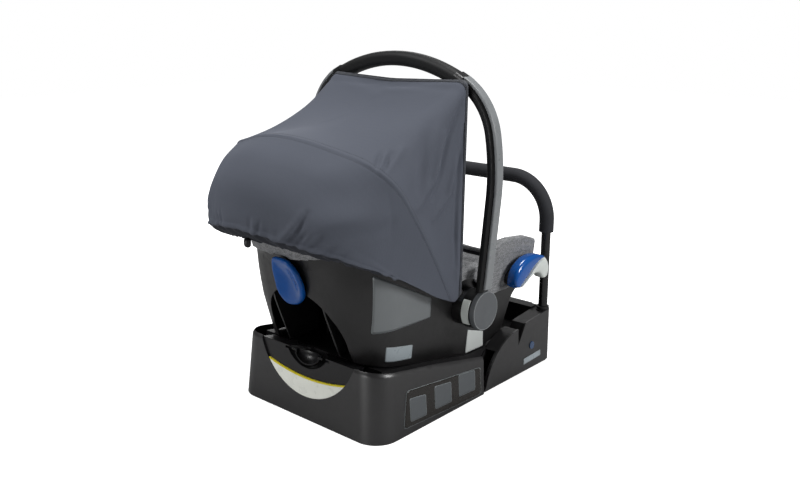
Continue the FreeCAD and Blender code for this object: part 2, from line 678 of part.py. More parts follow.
def handle_core():
    """The black arch with a hub housing at each end, bored for the pins and pocketed for the buttons."""
    half = run_along(handle_path(0, 0.0, HUB_Z + 10), core_section())
    half = half.cut(rod(HUB_R + 0.4, V(HUB_OUT_X, HUB_Y, HUB_Z), V(HUB_OUT_X + CAP_T + 20, HUB_Y, HUB_Z)))
    half = half.fuse(rod(HUB_R, V(HUB_IN_X, HUB_Y, HUB_Z), V(HUB_OUT_X, HUB_Y, HUB_Z)))
    half = half.cut(rod(PIN_R + PIN_CLEAR, V(180, HUB_Y, HUB_Z), V(HUB_OUT_X - 2, HUB_Y, HUB_Z)))
    half = half.cut(button_pocket(1))
    return half.fuse(mirrored(half))


def rim_segment(depth, proud, clear):
    """A curved block in the hub housing's rim, on the side towards the head."""
    x0, x1 = HUB_IN_X + 3 - clear, HUB_IN_X + 3 + BUTTON_W + clear
    ring = rod(HUB_R + proud, V(x0, HUB_Y, HUB_Z), V(x1, HUB_Y, HUB_Z))
    ring = ring.cut(rod(HUB_R - depth, V(x0 - 1, HUB_Y, HUB_Z), V(x1 + 1, HUB_Y, HUB_Z)))
    return ring.common(box(150, 230, HUB_Y - 60, HUB_Y - 10, HUB_Z + BUTTON_LOW - clear, HUB_Z + BUTTON_HIGH + clear))


def button_pocket(side):
    cut = rim_segment(BUTTON_DEPTH + BUTTON_TRAVEL + 1, 5, 0.3)
    return cut if side > 0 else mirrored(cut)


def handle_button(side):
    button = rim_segment(BUTTON_DEPTH, BUTTON_PROUD, 0)
    return button if side > 0 else mirrored(button)


def hub_cap(side):
    disc = rod(HUB_R - 0.5, V(HUB_OUT_X + 0.02, HUB_Y, HUB_Z), V(HUB_OUT_X + CAP_T, HUB_Y, HUB_Z))
    edge = [e for e in disc.Edges if e.Vertexes[0].Point.x > HUB_OUT_X + 1 and e.Closed]
    disc = disc.makeFillet(3.0, edge)
    return disc if side > 0 else mirrored(disc)


def hub_pins():
    pin = rod(PIN_R, V(155, HUB_Y, HUB_Z), V(HUB_OUT_X - 4, HUB_Y, HUB_Z))
    return Part.makeCompound([pin, mirrored(pin)])


def handle_trim(side):
    path = handle_path(CORE_RADIAL / 2 + TRIM_RADIAL / 2, GRIP_HALF_DEG, HUB_Z + HUB_R + 6)
    strip = run_along(path, bar_section(TRIM_RADIAL, TRIM_DEPTH, 2.5))
    return strip if side > 0 else mirrored(strip)


def canopy_clip(side):
    """A loop round the handle at the end of the grip, which holds a corner of the canopy."""
    path = top_arc(GRIP_HALF_DEG - CLIP_DEG, GRIP_HALF_DEG)
    outer = bar_section(CORE_RADIAL + CLIP_GROW * 2, CORE_DEPTH + CLIP_GROW * 2, CORE_CORNER + 2)
    ring = run_along(path, sleeve(outer, core_section(SLIP)))
    return ring if side > 0 else mirrored(ring)


def handle_grip():
    """The soft sleeve between the clips."""
    end = GRIP_HALF_DEG - CLIP_DEG
    return run_along(top_arc(-end, end), sleeve(bar_section(GRIP_SIZE, GRIP_SIZE + 2, 11), core_section(SLIP)))


# ---------- canopy ----------
def bow_place(x, reach):
    lean = math.radians(BOW_LEAN_DEG)
    return V(x, HUB_Y - reach * math.sin(lean), HUB_Z + reach * math.cos(lean))


def bow_path():
    return arch_half(BOW_APEX, BOW_BENDS, BOW_LOW, bow_place)


def canopy_bow():
    """The sprung wire that holds up the hood, in a plane through the hub axis."""
    wire = run_along(bow_path(), round_section(BOW_R))
    return wire.fuse(mirrored(wire))


def bow_leg_end(side):
    """Lower end of a leg of the bow, and the direction up the leg."""
    leg = bow_path()[-1]
    end, up = leg.valueAt(leg.LastParameter), leg.tangentAt(leg.LastParameter) * -1
    return V(side * end.x, end.y, end.z), V(side * up.x, up.y, up.z)


def bow_sockets():
    """Blocks on the shell's flanks that the ends of the bow plug into."""
    end, up = bow_leg_end(1)
    block = rod(BOW_R + 2.5, end - up * 9, end + up * 10)
    bridge = box(160, end.x, end.y - 5, end.y + 5, end.z - 8, end.z - 1)
    block = block.fuse(bridge).cut(rod(BOW_R + SLIP, end, end + up * 12))
    block = block.cut(rod(HUB_R + 1.5, V(150, HUB_Y, HUB_Z), V(230, HUB_Y, HUB_Z)))
    keep = clear_of_shell(block)
    return Part.makeCompound([keep, mirrored(keep)])


def hood_arch(foot, apex, half_top, rise, radius, crown_r):
    """One arch of the hood as a flat closed outline: straight sides, round shoulders and a low crown."""
    foot_x, low = foot[0], yz(*foot[1:])
    up = (yz(*apex) - low).normalize()
    height = (yz(*apex) - low).Length
    points, radii = [], []
    for wall, turn in ((0.0, 1), (CANOPY_T, -1)):
        half = [(foot_x - wall, 0.0, 0.0), (half_top - wall, height - rise - wall, radius - wall)]
        line = half + [(0.0, height - wall, crown_r)] + [(-x, r, c) for x, r, c in half[::-1]]
        points += [V(x, 0, 0) + low + up * reach for x, reach, corner in line[::turn]]
        radii += [corner for x, reach, corner in line[::turn]]
    return outline(points, radii)


def canopy():
    return loft([hood_arch((x, y, z), (top_y, top_z), half_top, rise, radius, crown_r)
                 for x, y, z, top_y, top_z, half_top, rise, radius, crown_r in HOOD_ARCHES])


# ---------- belt hooks ----------
def side_hook_outline(x):
    """Side view of a lap-belt hook: a fat crescent that curls over and down towards the feet."""
    corners = [(42, 196, 10), (58, 262, 40), (140, 276, 60), (186, 262, 30), (196, 212, 7), (178, 208, 7),
               (164, 240, 18), (118, 240, 40), (84, 192, 16)]
    return outline([V(x, y, z) for y, z, r in corners], [r for y, z, r in corners])


def tip_region():
    """The part of a hook under a slanting line: the pale tip."""
    return slab(outline([V(170, 93, 218), V(170, 93, 150), V(170, 260, 150), V(170, 260, 304)], [0] * 4), V(80, 0, 0))


def clear_of_shell(shape):
    """Trimmed to the shell's flank and flange, so that the piece seats on them."""
    flange = shell_hull(-5.0 - SLIP).common(rim_region(-1).cut(rim_region(9 + SLIP)))
    trimmed = shape.cut(shell_hull(-SLIP)).cut(flange)
    return largest(trimmed)


def lap_hook(side, tip):
    body = slab(side_hook_outline(HOOK_PLATE_X + 4), V(HOOK_OUT_X - HOOK_PLATE_X - 4, 0, 0))
    rounded = body.makeFillet(6.0, [e for e in body.Edges if all(abs(v.Point.x - HOOK_OUT_X) < 0.01 for v in e.Vertexes)])
    part = largest(rounded.common(tip_region()) if tip else rounded.cut(tip_region()))
    return part if side > 0 else mirrored(part)


def lap_hook_plate(side):
    """The black root of a lap-belt hook: it stands on the shell's flank and leaves the belt slot behind the hook."""
    root = slab(outline([V(150, 52, 200), V(150, 92, 200), V(150, 150, 226), V(150, 158, 246), V(150, 72, 242)],
                        [6, 10, 10, 8, 12]), V(HOOK_PLATE_X + 4 - 150, 0, 0))
    root = clear_of_shell(root)
    return root if side > 0 else mirrored(root)


def rear_hook_place(shape):
    """Moves a shape drawn flat in the XZ plane onto the leaning head wall, over the top of the arch."""
    lean = math.degrees(math.atan(SHELL_HEAD_LEAN))
    z = ARCH_TOP_Z + 20
    y = SHELL_HEAD_Y0 - SHELL_HEAD_LEAN * (z - SHELL_REF_Z)
    moved = shape.copy()
    moved.rotate(V(0, 0, 0), V(1, 0, 0), lean)
    return moved.translated(V(4, y, z))


def rear_hook():
    """The leaf that the shoulder belt is led behind: dished, narrow at the top and round at the bottom."""
    edges = [
        Part.Arc(V(-14, 0, 42), V(0, 0, 46), V(14, 0, 40)).toShape(),
        Part.Arc(V(14, 0, 40), V(28, 0, 5), V(22, 0, -32)).toShape(),
        Part.Arc(V(22, 0, -32), V(2, 0, -48), V(-18, 0, -34)).toShape(),
        Part.Arc(V(-18, 0, -34), V(-25, 0, 4), V(-14, 0, 42)).toShape(),
    ]
    leaf = slab(Part.Wire(edges), V(0, -LEAF_T, 0)).translated(V(0, -LEAF_OFF, 0))
    dish = Part.makeSphere(LEAF_DISH_R, V(0, LEAF_DISH_DEPTH - LEAF_OFF - LEAF_T - LEAF_DISH_R, 0))
    return clear_of_shell(rear_hook_place(leaf.cut(dish)))


def rear_hook_stem():
    stem = slab(outline([V(-10, 0, 6), V(10, 0, 6), V(11, 0, 38), V(-11, 0, 38)], [3] * 4), V(0, -STEM_IN - LEAF_OFF, 0))
    stem = rear_hook_place(stem.translated(V(0, STEM_IN, 0)))
    return clear_of_shell(stem)


# ---------- seat fabrics ----------
def pan_z(y):
    """Height of the seat pan's surface on the line of the pan."""
    curve = Part.BSplineCurve()
    curve.interpolate([yz(*p) for p in PAN_LINE])
    first, last = curve.FirstParameter, curve.LastParameter
    for _ in range(40):
        middle = (first + last) / 2
        if curve.value(middle).y < y:
            first = middle
        else:
            last = middle
    return curve.value(first).z


def pad_z(y):
    return pan_z(y) + PAD_T + 3 * SOFT_GAP


def pad_slope(y):
    return math.degrees(math.atan((pan_z(y + 2) - pan_z(y - 2)) / 4))


def on_pad(shape, y, lift=0.0):
    """Moves a shape drawn flat in the XY plane, +Y towards the feet, onto the pad at a place along the seat."""
    moved = shape.copy()
    moved.rotate(V(0, 0, 0), V(1, 0, 0), pad_slope(y))
    return moved.translated(V(0, y, pad_z(y) + lift))


def region_between(top, low):
    """Space between two smooth curves in the YZ plane that share their end places."""
    (y0, z0), (y1, z1) = top[0], top[-1]
    (w0, v0), (w1, v1) = low[0], low[-1]
    edges = [spline([yz(*p) for p in top]), Part.makeLine(yz(y1, z1), yz(w1, v1)), spline([yz(*p) for p in low[::-1]]),
             Part.makeLine(yz(w0, v0), yz(y0, z0))]
    return across(Part.Wire(edges), 260)


def seat_cover():
    """The padded cover's edge: a roll on the shell's rim with a skirt over the outside of the flange."""
    outside = shell_hull(-5.0 - SOFT_GAP - COVER_T)
    over_rim = region_between(COVER_TOP, [(y, z + SOFT_GAP) for y, z in RIM_LINE])
    roll = outside.cut(shell_hull(COVER_IN, 59, 461)).common(over_rim)
    low = region_between([(y, z + SOFT_GAP + 0.1) for y, z in RIM_LINE], COVER_LOW)
    drop = outside.cut(shell_hull(-5.0 - SOFT_GAP, 59, 461)).common(low)
    cover = roll.fuse(drop)
    for side in (1, -1):
        cover = cover.cut(grown_root(side))
        end, up = bow_leg_end(side)
        cover = cover.cut(rod(BOW_R + 6, end - up * 14, end + up * 60)).cut(hub_boss(side, SOFT_GAP))
    cover = cover.cut(rear_hook_clear())
    return largest(cover)


def grown_root(side):
    root = slab(outline([V(150, 50, 196), V(150, 96, 196), V(150, 154, 222), V(150, 163, 250), V(150, 68, 246)],
                        [6, 10, 10, 8, 12]), V(70, 0, 0))
    return root if side > 0 else mirrored(root)


def rear_hook_clear():
    half = [(33, -14, 3), (32, 16, 8), (26, 36, 8), (17, 51, 5)]
    corners = half + [(-x, z, r) for x, z, r in half[::-1]]
    block = slab(outline([V(x, 0, z) for x, z, r in corners], [r for x, z, r in corners]), V(0, -60, 0))
    return rear_hook_place(block.translated(V(0, 20, 0)))


def seat_pad():
    """The padding that lines the seat pan from the head to the feet."""
    top = [(y, z + 2 * SOFT_GAP + PAD_T) for y, z in PAN_LINE]
    pad = band_under(top, PAD_T, 250).common(shell_hull(SHELL_WALL + SOFT_GAP)).common(rim_region(SOFT_GAP))
    return pad


def head_hugger():
    """A horseshoe cushion round the head, open towards the feet."""
    outer = outline([V(-100, -70, 0), V(100, -70, 0), V(92, 80, 0), V(-92, 80, 0)], [70, 70, 18, 18])
    inner = outline([V(-58, -34, 0), V(58, -34, 0), V(54, 90, 0), V(-54, 90, 0)], [40, 40, 0, 0])
    cushion = slab(outer, V(0, 0, 34)).cut(slab(inner, V(0, 0, 40)).translated(V(0, 0, -1)))
    return on_pad(cushion, -248, 2.5)


def strap_loft(width, depth, stations):
    """A flat strap through stations of (x, y, z), each a level rectangle across the strap's run."""
    wires = []
    for x, y, z in stations:
        wires.append(outline([V(x - width / 2, y, z), V(x + width / 2, y, z), V(x + width / 2, y, z + depth),
                              V(x - width / 2, y, z + depth)], [0] * 4))
    return loft(wires, False)


STRAP_STATIONS = [(44, -158, 5.5), (43, -130, 6.0), (40, -95, 7.5), (32, -68, 8.5), (27, -46.6, 9.6)]


def strap_line(drop=0.0):
    return [(x, y, pad_z(y) + lift - drop) for x, y, lift in STRAP_STATIONS]


def harness_strap(side):
    strap = strap_loft(STRAP_W, STRAP_T, strap_line())
    return strap if side > 0 else mirrored(strap)


def shoulder_pad(side):
    pad = strap_loft(STRAP_W + 16, 12.0, strap_line(5.0)[:4])
    pad = pad.cut(strap_loft(STRAP_W + 0.4, STRAP_T + 0.4, strap_line(0.2)))
    return pad if side > 0 else mirrored(pad)


BUCKLE_Y = 6.0
BUCKLE_T = 20.0
TONGUE_LOW = 7.2
TONGUE_HIGH = 11.0


def buckle_body():
    plate = outline([V(-30, -26, 0), V(30, -26, 0), V(24, 34, 0), V(-24, 34, 0)], [8, 8, 14, 14])
    body = slab(plate, V(0, 0, BUCKLE_T))
    body = body.makeFillet(3.0, [e for e in body.Edges if all(abs(v.Point.z - BUCKLE_T) < 0.01 for v in e.Vertexes)])
    well = box(-15.3, 15.3, -10.3, 18.3, 12, 30)
    slots = box(-25.3, -4.7, -40, -8, TONGUE_LOW - 0.2, TONGUE_HIGH + 0.2)
    return on_pad(body.cut(well).cut(slots).cut(mirrored(slots)), BUCKLE_Y, 2.1)


def buckle_button():
    button = slab(outline([V(-15, -10, 16.5), V(15, -10, 16.5), V(15, 18, 16.5), V(-15, 18, 16.5)], [3] * 4), V(0, 0, 5))
    return on_pad(button, BUCKLE_Y, 2.1)


def buckle_tongues():
    blade = box(5, 25, -32, -9, TONGUE_LOW, TONGUE_HIGH)
    plate = slab(outline([V(3, -52, TONGUE_LOW), V(45, -52, TONGUE_LOW), V(45, -42, TONGUE_LOW), V(27, -30, TONGUE_LOW),
                          V(3, -30, TONGUE_LOW)], [3] * 5), V(0, 0, TONGUE_HIGH - TONGUE_LOW))
    right = blade.fuse(plate)
    return on_pad(Part.makeCompound([right, mirrored(right)]), BUCKLE_Y, 2.1)


def crotch_strap():
    stations = [(0, y, pad_z(y) + lift) for y, lift in ((62, 0.2), (52, 3.0), (42, 6.5))]
    return strap_loft(STRAP_W, STRAP_T, stations)


ADJUSTER_Y = 128.0


def adjuster_housing():
    """The harness adjuster at the front of the seat, with a well for its lever."""
    block = slab(outline([V(-22, -15, 0), V(22, -15, 0), V(22, 15, 0), V(-22, 15, 0)], [6] * 4), V(0, 0, 9))
    return on_pad(block.cut(box(-14.3, 14.3, -10.3, 8.3, 3, 20)), ADJUSTER_Y, 1.2)


def adjuster_lever():
    lever = slab(outline([V(-14, -10, 6.5), V(14, -10, 6.5), V(14, 8, 6.5), V(-14, 8, 6.5)], [2] * 4), V(0, 0, 4))
    return on_pad(lever, ADJUSTER_Y, 1.2)


def level_window(side, grow=0.0):
    x0, x1 = BASE_HALF_W - PANEL_T - LEVEL_SEAT, BASE_HALF_W + LEVEL_PROUD
    window = rod(LEVEL_R + grow, V(x0 - grow, LEVEL_Y, LEVEL_Z), V(x1 + grow, LEVEL_Y, LEVEL_Z))
    return window if side > 0 else mirrored(window)


def main():
    os.makedirs("parts", exist_ok=True)
    save("base_skirt", base_skirt())
    save("base_crescent", base_crescent())
    save("base_crescent_line", base_crescent_line())
    save("base_fascia", base_fascia())
    save("base_floor", base_floor())
    save("base_chassis", base_chassis())
    for name, side in (("right", 1), ("left", -1)):
        save("tower_panel_" + name, tower_panel(side))
    save("foot_panel", foot_panel())
    save("rebound_bar", rebound_bar())
    save("rebound_foam", rebound_foam())
    save("bar_collars", bar_collars())
    save("carrier_shell", carrier_shell())
    save("latch_bars", latch_bars())
    save("rear_hook", rear_hook())
    save("rear_hook_stem", rear_hook_stem())
    save("canopy", canopy())
    save("canopy_bow", canopy_bow())
    save("bow_sockets", bow_sockets())
    save("seat_cover", seat_cover())
    save("seat_pad", seat_pad())
    save("head_hugger", head_hugger())
    save("buckle_body", buckle_body())
    save("buckle_button", buckle_button())
    save("buckle_tongues", buckle_tongues())
    save("crotch_strap", crotch_strap())
    save("adjuster_housing", adjuster_housing())
    save("adjuster_lever", adjuster_lever())
    save("release_paddle", release_paddle())
    save("grip_pads", grip_pads())
    save("handle_core", handle_core())
    save("handle_grip", handle_grip())
    save("hub_pins", hub_pins())
    for name, side in (("right", 1), ("left", -1)):
        save("hub_cap_" + name, hub_cap(side))
        save("handle_trim_" + name, handle_trim(side))
        save("handle_button_" + name, handle_button(side))
        save("canopy_clip_" + name, canopy_clip(side))
        save("lap_hook_" + name, lap_hook(side, False))
        save("lap_hook_tip_" + name, lap_hook(side, True))
        save("lap_hook_plate_" + name, lap_hook_plate(side))
        save("harness_strap_" + name, harness_strap(side))
        save("shoulder_pad_" + name, shoulder_pad(side))
        save("level_window_" + name, level_window(side))


main()
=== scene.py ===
import math
from contextlib import contextmanager

import bmesh
import bpy
import numpy as np
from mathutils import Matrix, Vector, noise
from mathutils.bvhtree import BVHTree


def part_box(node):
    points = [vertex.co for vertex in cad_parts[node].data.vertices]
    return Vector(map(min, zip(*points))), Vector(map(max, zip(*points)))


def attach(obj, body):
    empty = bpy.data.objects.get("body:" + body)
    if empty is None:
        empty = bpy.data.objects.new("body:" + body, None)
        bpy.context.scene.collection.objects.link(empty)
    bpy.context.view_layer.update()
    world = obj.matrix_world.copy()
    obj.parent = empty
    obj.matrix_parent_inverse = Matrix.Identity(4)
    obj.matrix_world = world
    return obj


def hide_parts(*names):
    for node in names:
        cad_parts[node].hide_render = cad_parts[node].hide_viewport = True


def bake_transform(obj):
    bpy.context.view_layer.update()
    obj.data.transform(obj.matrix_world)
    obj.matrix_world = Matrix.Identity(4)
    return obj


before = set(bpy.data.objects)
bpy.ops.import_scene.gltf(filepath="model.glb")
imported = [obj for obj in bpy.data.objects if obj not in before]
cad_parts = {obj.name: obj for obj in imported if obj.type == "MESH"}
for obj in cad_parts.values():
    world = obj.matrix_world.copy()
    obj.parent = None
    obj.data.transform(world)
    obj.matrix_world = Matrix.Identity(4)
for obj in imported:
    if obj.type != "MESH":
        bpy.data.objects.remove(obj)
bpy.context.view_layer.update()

bl_info = {
    "name": "Infant Car Seat",
    "version": (1, 0, 0),
    "blender": (4, 5, 0),
    "location": "3D Viewport > Sidebar > Car Seat",
    "description": "Builds the fabrics, finishes, trims and stage of an infant car seat on its CAD frame",
    "category": "Object",
}

MM = 0.001
DOWN = (0, 0, -1)
CLOTH_FRAMES = 20
BANDS = 20               # how many bands a wave texture draws along a unit of length at scale 1
COORDS, MAPPING = "ShaderNodeTexCoord", "ShaderNodeMapping"
NOISE, WAVE, CELLS = "ShaderNodeTexNoise", "ShaderNodeTexWave", "ShaderNodeTexVoronoi"
MIX, RANGE, RAMP, MATH = "ShaderNodeMix", "ShaderNodeMapRange", "ShaderNodeValToRGB", "ShaderNodeMath"
BUMP = "ShaderNodeBump"


def linear(hex_code):
    """An sRGB hex colour as the linear colour that shaders take."""
    parts = [int(hex_code[i:i + 2], 16) / 255 for i in (0, 2, 4)]
    return tuple(c / 12.92 if c <= 0.04045 else ((c + 0.055) / 1.055) ** 2.4 for c in parts)


def rgba(colour, factor=1.0):
    return tuple(min(c * factor, 1.0) for c in colour[:3]) + (1.0,)


# ---------- sizes and colours ----------
def length(name, description, metres):
    return bpy.props.FloatProperty(name=name, description=description, default=metres, min=0.0, unit="LENGTH",
                                   precision=5)


def tint(name, description, hex_code):
    return bpy.props.FloatVectorProperty(name=name, description=description, default=linear(hex_code), size=3,
                                         min=0.0, max=1.0, subtype="COLOR")


class SeatSizes(bpy.types.PropertyGroup):
    """Sizes of the fabrics and trims."""
    hood_cloth: length("Hood cloth", "Thickness of the hood's jersey", 0.0012)
    fold_depth: bpy.props.FloatProperty(name="Fold depth", description="Scale of the hood's folds", min=0.0,
                                        default=1.7)
    binding: length("Binding width", "Width of the tape on the hood's front edge", 0.009)
    stitch_pitch: length("Stitch pitch", "From one stitch to the next", 0.0042)
    stitch_length: length("Stitch length", "Length of thread showing in one stitch", 0.0028)
    thread: length("Thread", "Thickness of the sewing thread", 0.0007)
    webbing: length("Webbing thickness", "Thickness of the harness webbing", 0.0016)
    puff: length("Puff", "How far the padding may swell", 0.006)


class SeatColours(bpy.types.PropertyGroup):
    """Colours of the materials."""
    hood: tint("Hood jersey", "Stretch jersey of the sun hood", "50545E")
    # the hem's colour is painted shade: darker than the hood's jersey because the gathered band turned under at
    # the head end faces down, into shade
    hem: tint("Hem", "Gathered elastic hem at the head end", "303238")
    binding: tint("Binding", "Tape on the hood's edge", "3A3D44")
    melange_light: tint("Melange light", "Pale fibres of the cover", "A6A7A9")
    melange_dark: tint("Melange dark", "Dark fibres of the cover", "3C3D40")
    base_black: tint("Base black", "Moulded covers of the base", "121113")
    shell_black: tint("Shell black", "Moulded carrier shell", "111011")
    handle_black: tint("Handle black", "Handle core and hubs", "0E0F10")
    # the trim's colour is partly its own grey and partly a painted reflection: lighter than the strip's dark
    # grey, to stand in for the sheen along it
    handle_trim: tint("Handle trim", "Pale outer strip of the handle", "7F8284")
    cap_grey: tint("Hub cap", "Disc on each hub", "55585B")
    button_grey: tint("Button", "Release buttons and pale tips", "CFD4D0")
    hook_blue: tint("Belt blue", "Belt hooks", "07509E")
    crescent: tint("Crescent", "Pale inlay of the base", "EDEFE6")
    line_yellow: tint("Line yellow", "Line along the inlay", "D9C81E")
    foam: tint("Foam", "Sleeve on the bar", "2A2B2F")
    bar: tint("Bar", "Painted steel tube", "0B0B0C")
    label_dark: tint("Dark label film", "Bare instruction places", "211E1B")
    label_pale: tint("Pale label film", "Bare paper places", "C9CDCB")
    webbing: tint("Webbing", "Harness webbing", "2B2D31")
    lining: tint("Lining", "Shoulder pads and crotch pad", "34363B")
    red: tint("Button red", "Harness release button", "A8201B")


def sizes():
    return bpy.context.scene.seat_sizes


def colours():
    return bpy.context.scene.seat_colours


# ---------- nodes ----------
def add(tree, kind, inputs, out=0, **settings):
    """Adds one node with its settings, each input a value or a socket to link; returns one of its outputs."""
    made = tree.nodes.new(kind)
    for key, value in settings.items():
        setattr(made, key, value)
    for key, value in inputs.items():
        if isinstance(value, bpy.types.NodeSocket):
            tree.links.new(value, made.inputs[key])
        else:
            made.inputs[key].default_value = value
    return made.outputs[out]


def start(name, **constants):
    """A Principled material: constants go straight on the shader's own sockets."""
    material = bpy.data.materials.new(name)
    material.use_nodes = True
    tree = material.node_tree
    shader = tree.nodes["Principled BSDF"]
    for key, value in constants.items():
        shader.inputs[key.replace("_", " ")].default_value = value
    return material, tree, shader


def wire(tree, shader, **sockets):
    for key, socket in sockets.items():
        tree.links.new(socket, shader.inputs[key.replace("_", " ")])


# ---------- finishes ----------
def hard(name, colour, shades, mottle, wear, gloss, relief, depth_mm, strength, **constants):
    """A hard skin from three noise fields: one shades its colour, one its polish, and one gives it relief."""
    material, tree, shader = start(name, **constants)
    where = add(tree, COORDS, {}, "Object")
    cloud, rub, grain = (add(tree, NOISE, {"Vector": where, **f}, "Fac") for f in (mottle, wear, relief))
    dark, light = (rgba(colour, shade) for shade in shades)
    tone = add(tree, MIX, {0: cloud, 6: dark, 7: light}, 2, data_type="RGBA")
    worn = add(tree, RANGE, {"Value": rub, "From Min": 0.3, "From Max": 0.7, "To Min": gloss[0],
                             "To Max": gloss[1]}, "Result")
    skin = add(tree, BUMP, {"Height": grain, "Distance": depth_mm * MM, "Strength": strength}, "Normal")
    wire(tree, shader, Base_Color=tone, Roughness=worn, Normal=skin)
    return material


def moulded(name, colour, roughness, grain_mm=1.1, depth_mm=0.05, scuff=0.05, level=0.5):
    """Injection-moulded polypropylene or nylon with a spark-eroded grain: an even satin that breaks up
    highlights. The real grain is about 0.3 mm; it is drawn near a millimetre so that it shows."""
    mottle, grain = {"Scale": 1 / 0.06, "Detail": 3.0}, {"Scale": 1 / (grain_mm * MM), "Detail": 1.0}
    rub = {"Scale": 1 / 0.016, "Detail": 4.0, "Distortion": 0.4}
    return hard(name, colour, (0.88, 1.14), mottle, rub, (roughness - scuff, roughness + scuff), grain,
                depth_mm, 0.55, Specular_IOR_Level=level, IOR=1.49)


def glossy(name, colour, roughness, coat=0.0, level=0.5):
    """Polished ABS: a deep, clean reflection with faint handling haze."""
    haze = {"Scale": 1 / 0.022, "Detail": 4.0}
    return hard(name, colour, (0.92, 1.08), haze, haze, (roughness * 0.75, roughness * 1.4), haze, 0.02, 0.25,
                IOR=1.54, Coat_Weight=coat, Coat_Roughness=0.08, Specular_IOR_Level=level)


def film(name, colour, roughness=0.3):
    """Printed-film label stock, left bare: a thin smooth film with a faint orange peel."""
    peel = {"Scale": 1 / 0.011, "Detail": 2.0}
    return hard(name, colour, (0.94, 1.06), {"Scale": 1 / 0.04, "Detail": 3.0}, peel,
                (roughness - 0.05, roughness + 0.08), peel, 0.02, 0.2, IOR=1.5)


def foam(name, colour, pit_mm=1.6, roughness=0.8):
    """Closed-cell foam or soft rubber: dull, with a fine pitted skin."""
    material, tree, shader = start(name, Roughness=roughness, Specular_IOR_Level=0.35)
    where = add(tree, COORDS, {}, "Object")
    pits = add(tree, CELLS, {"Vector": where, "Scale": 1 / (pit_mm * MM)}, "Distance")
    cloud = add(tree, NOISE, {"Vector": where, "Scale": 1 / 0.03, "Detail": 3.0}, "Fac")
    tone = add(tree, MIX, {0: cloud, 6: rgba(colour, 0.8), 7: rgba(colour, 1.2)}, 2, data_type="RGBA")
    skin = add(tree, BUMP, {"Height": pits, "Distance": 0.12 * MM, "Strength": 0.5}, "Normal")
    wire(tree, shader, Base_Color=tone, Normal=skin)
    return material


def bright_metal(name, colour, roughness):
    """Zinc-plated steel with fine drawing lines."""
    material, tree, shader = start(name, Metallic=1.0, Base_Color=rgba(colour))
    where = add(tree, MAPPING, {"Vector": add(tree, COORDS, {}, "Object"), "Scale": (1.0, 0.05, 1.0)})
    lines = add(tree, NOISE, {"Vector": where, "Scale": 1 / 0.0008, "Detail": 3.0}, "Fac")
    worn = add(tree, RANGE, {"Value": lines, "From Min": 0.3, "From Max": 0.7, "To Min": roughness - 0.08,
                             "To Max": roughness + 0.12}, "Result")
    skin = add(tree, BUMP, {"Height": lines, "Distance": 0.02 * MM, "Strength": 0.3}, "Normal")
    wire(tree, shader, Roughness=worn, Normal=skin)
    return material


def jersey(name, colour, wale_mm=1.3):
    """Stretch knit of the hood: fine upright wales, soft sheen at glancing angles, slight dye clouding.
    Real wales are about 0.5 mm apart; they are drawn at over twice that so that they show."""
    material, tree, shader = start(name, Roughness=0.82, Specular_IOR_Level=0.25, Sheen_Weight=0.25,
                                   Sheen_Roughness=0.4, Sheen_Tint=rgba(colour, 2.4))
    where = add(tree, COORDS, {}, "UV")
    pitch = 1 / (wale_mm * MM) / BANDS
    wales, courses = (add(tree, WAVE, {"Vector": where, "Scale": scale, "Distortion": 0.8, "Detail": 1.0},
                          "Fac", bands_direction=way) for scale, way in ((pitch, "X"), (pitch * 0.7, "Y")))
    loops = add(tree, MATH, {0: wales, 1: courses}, operation="MULTIPLY")
    fibres = add(tree, NOISE, {"Vector": where, "Scale": 1 / 0.0009, "Detail": 3.0, "Roughness": 0.7}, "Fac")
    cloud = add(tree, NOISE, {"Vector": where, "Scale": 1 / 0.05, "Detail": 3.0}, "Fac")
    dyed = add(tree, MIX, {0: cloud, 6: rgba(colour, 0.94), 7: rgba(colour, 1.06)}, 2, data_type="RGBA")
    spun = add(tree, MIX, {0: fibres, 6: rgba(colour, 0.7), 7: rgba(colour, 1.3)}, 2, data_type="RGBA")
    tone = add(tree, MIX, {0: 0.45, 6: dyed, 7: spun}, 2, data_type="RGBA")
    skin = add(tree, BUMP, {"Height": loops, "Distance": 0.15 * MM, "Strength": 0.35}, "Normal")
    wire(tree, shader, Base_Color=tone, Normal=skin)
    return material


def melange(name, light, dark, fleck_mm=1.5):
    """Melange jersey: pale and dark fibres spun together, seen as short flecks, over a soft matt knit."""
    material, tree, shader = start(name, Roughness=0.9, Specular_IOR_Level=0.15, Sheen_Weight=0.25,
                                   Sheen_Roughness=0.5)
    where = add(tree, MAPPING, {"Vector": add(tree, COORDS, {}, "Object"), "Scale": (1.0, 1.0, 2.0)})
    flecks = add(tree, NOISE, {"Vector": where, "Scale": 1 / (fleck_mm * MM), "Detail": 4.0,
                               "Roughness": 0.75}, "Fac")
    patch = add(tree, NOISE, {"Vector": where, "Scale": 1 / 0.009, "Detail": 3.0}, "Fac")
    weak = add(tree, MATH, {0: patch, 1: 0.18}, operation="MULTIPLY")
    mixed = add(tree, MATH, {0: flecks, 1: 0.82, 2: weak}, operation="MULTIPLY_ADD")
    tone = add(tree, RAMP, {"Fac": mixed}, "Color")
    stops = tone.node.color_ramp.elements
    stops[0].position, stops[0].color = 0.38, rgba(dark)
    stops[1].position, stops[1].color = 0.62, rgba(light)
    skin = add(tree, BUMP, {"Height": flecks, "Distance": 0.35 * MM, "Strength": 0.6}, "Normal")
    wire(tree, shader, Base_Color=tone, Normal=skin)
    return material


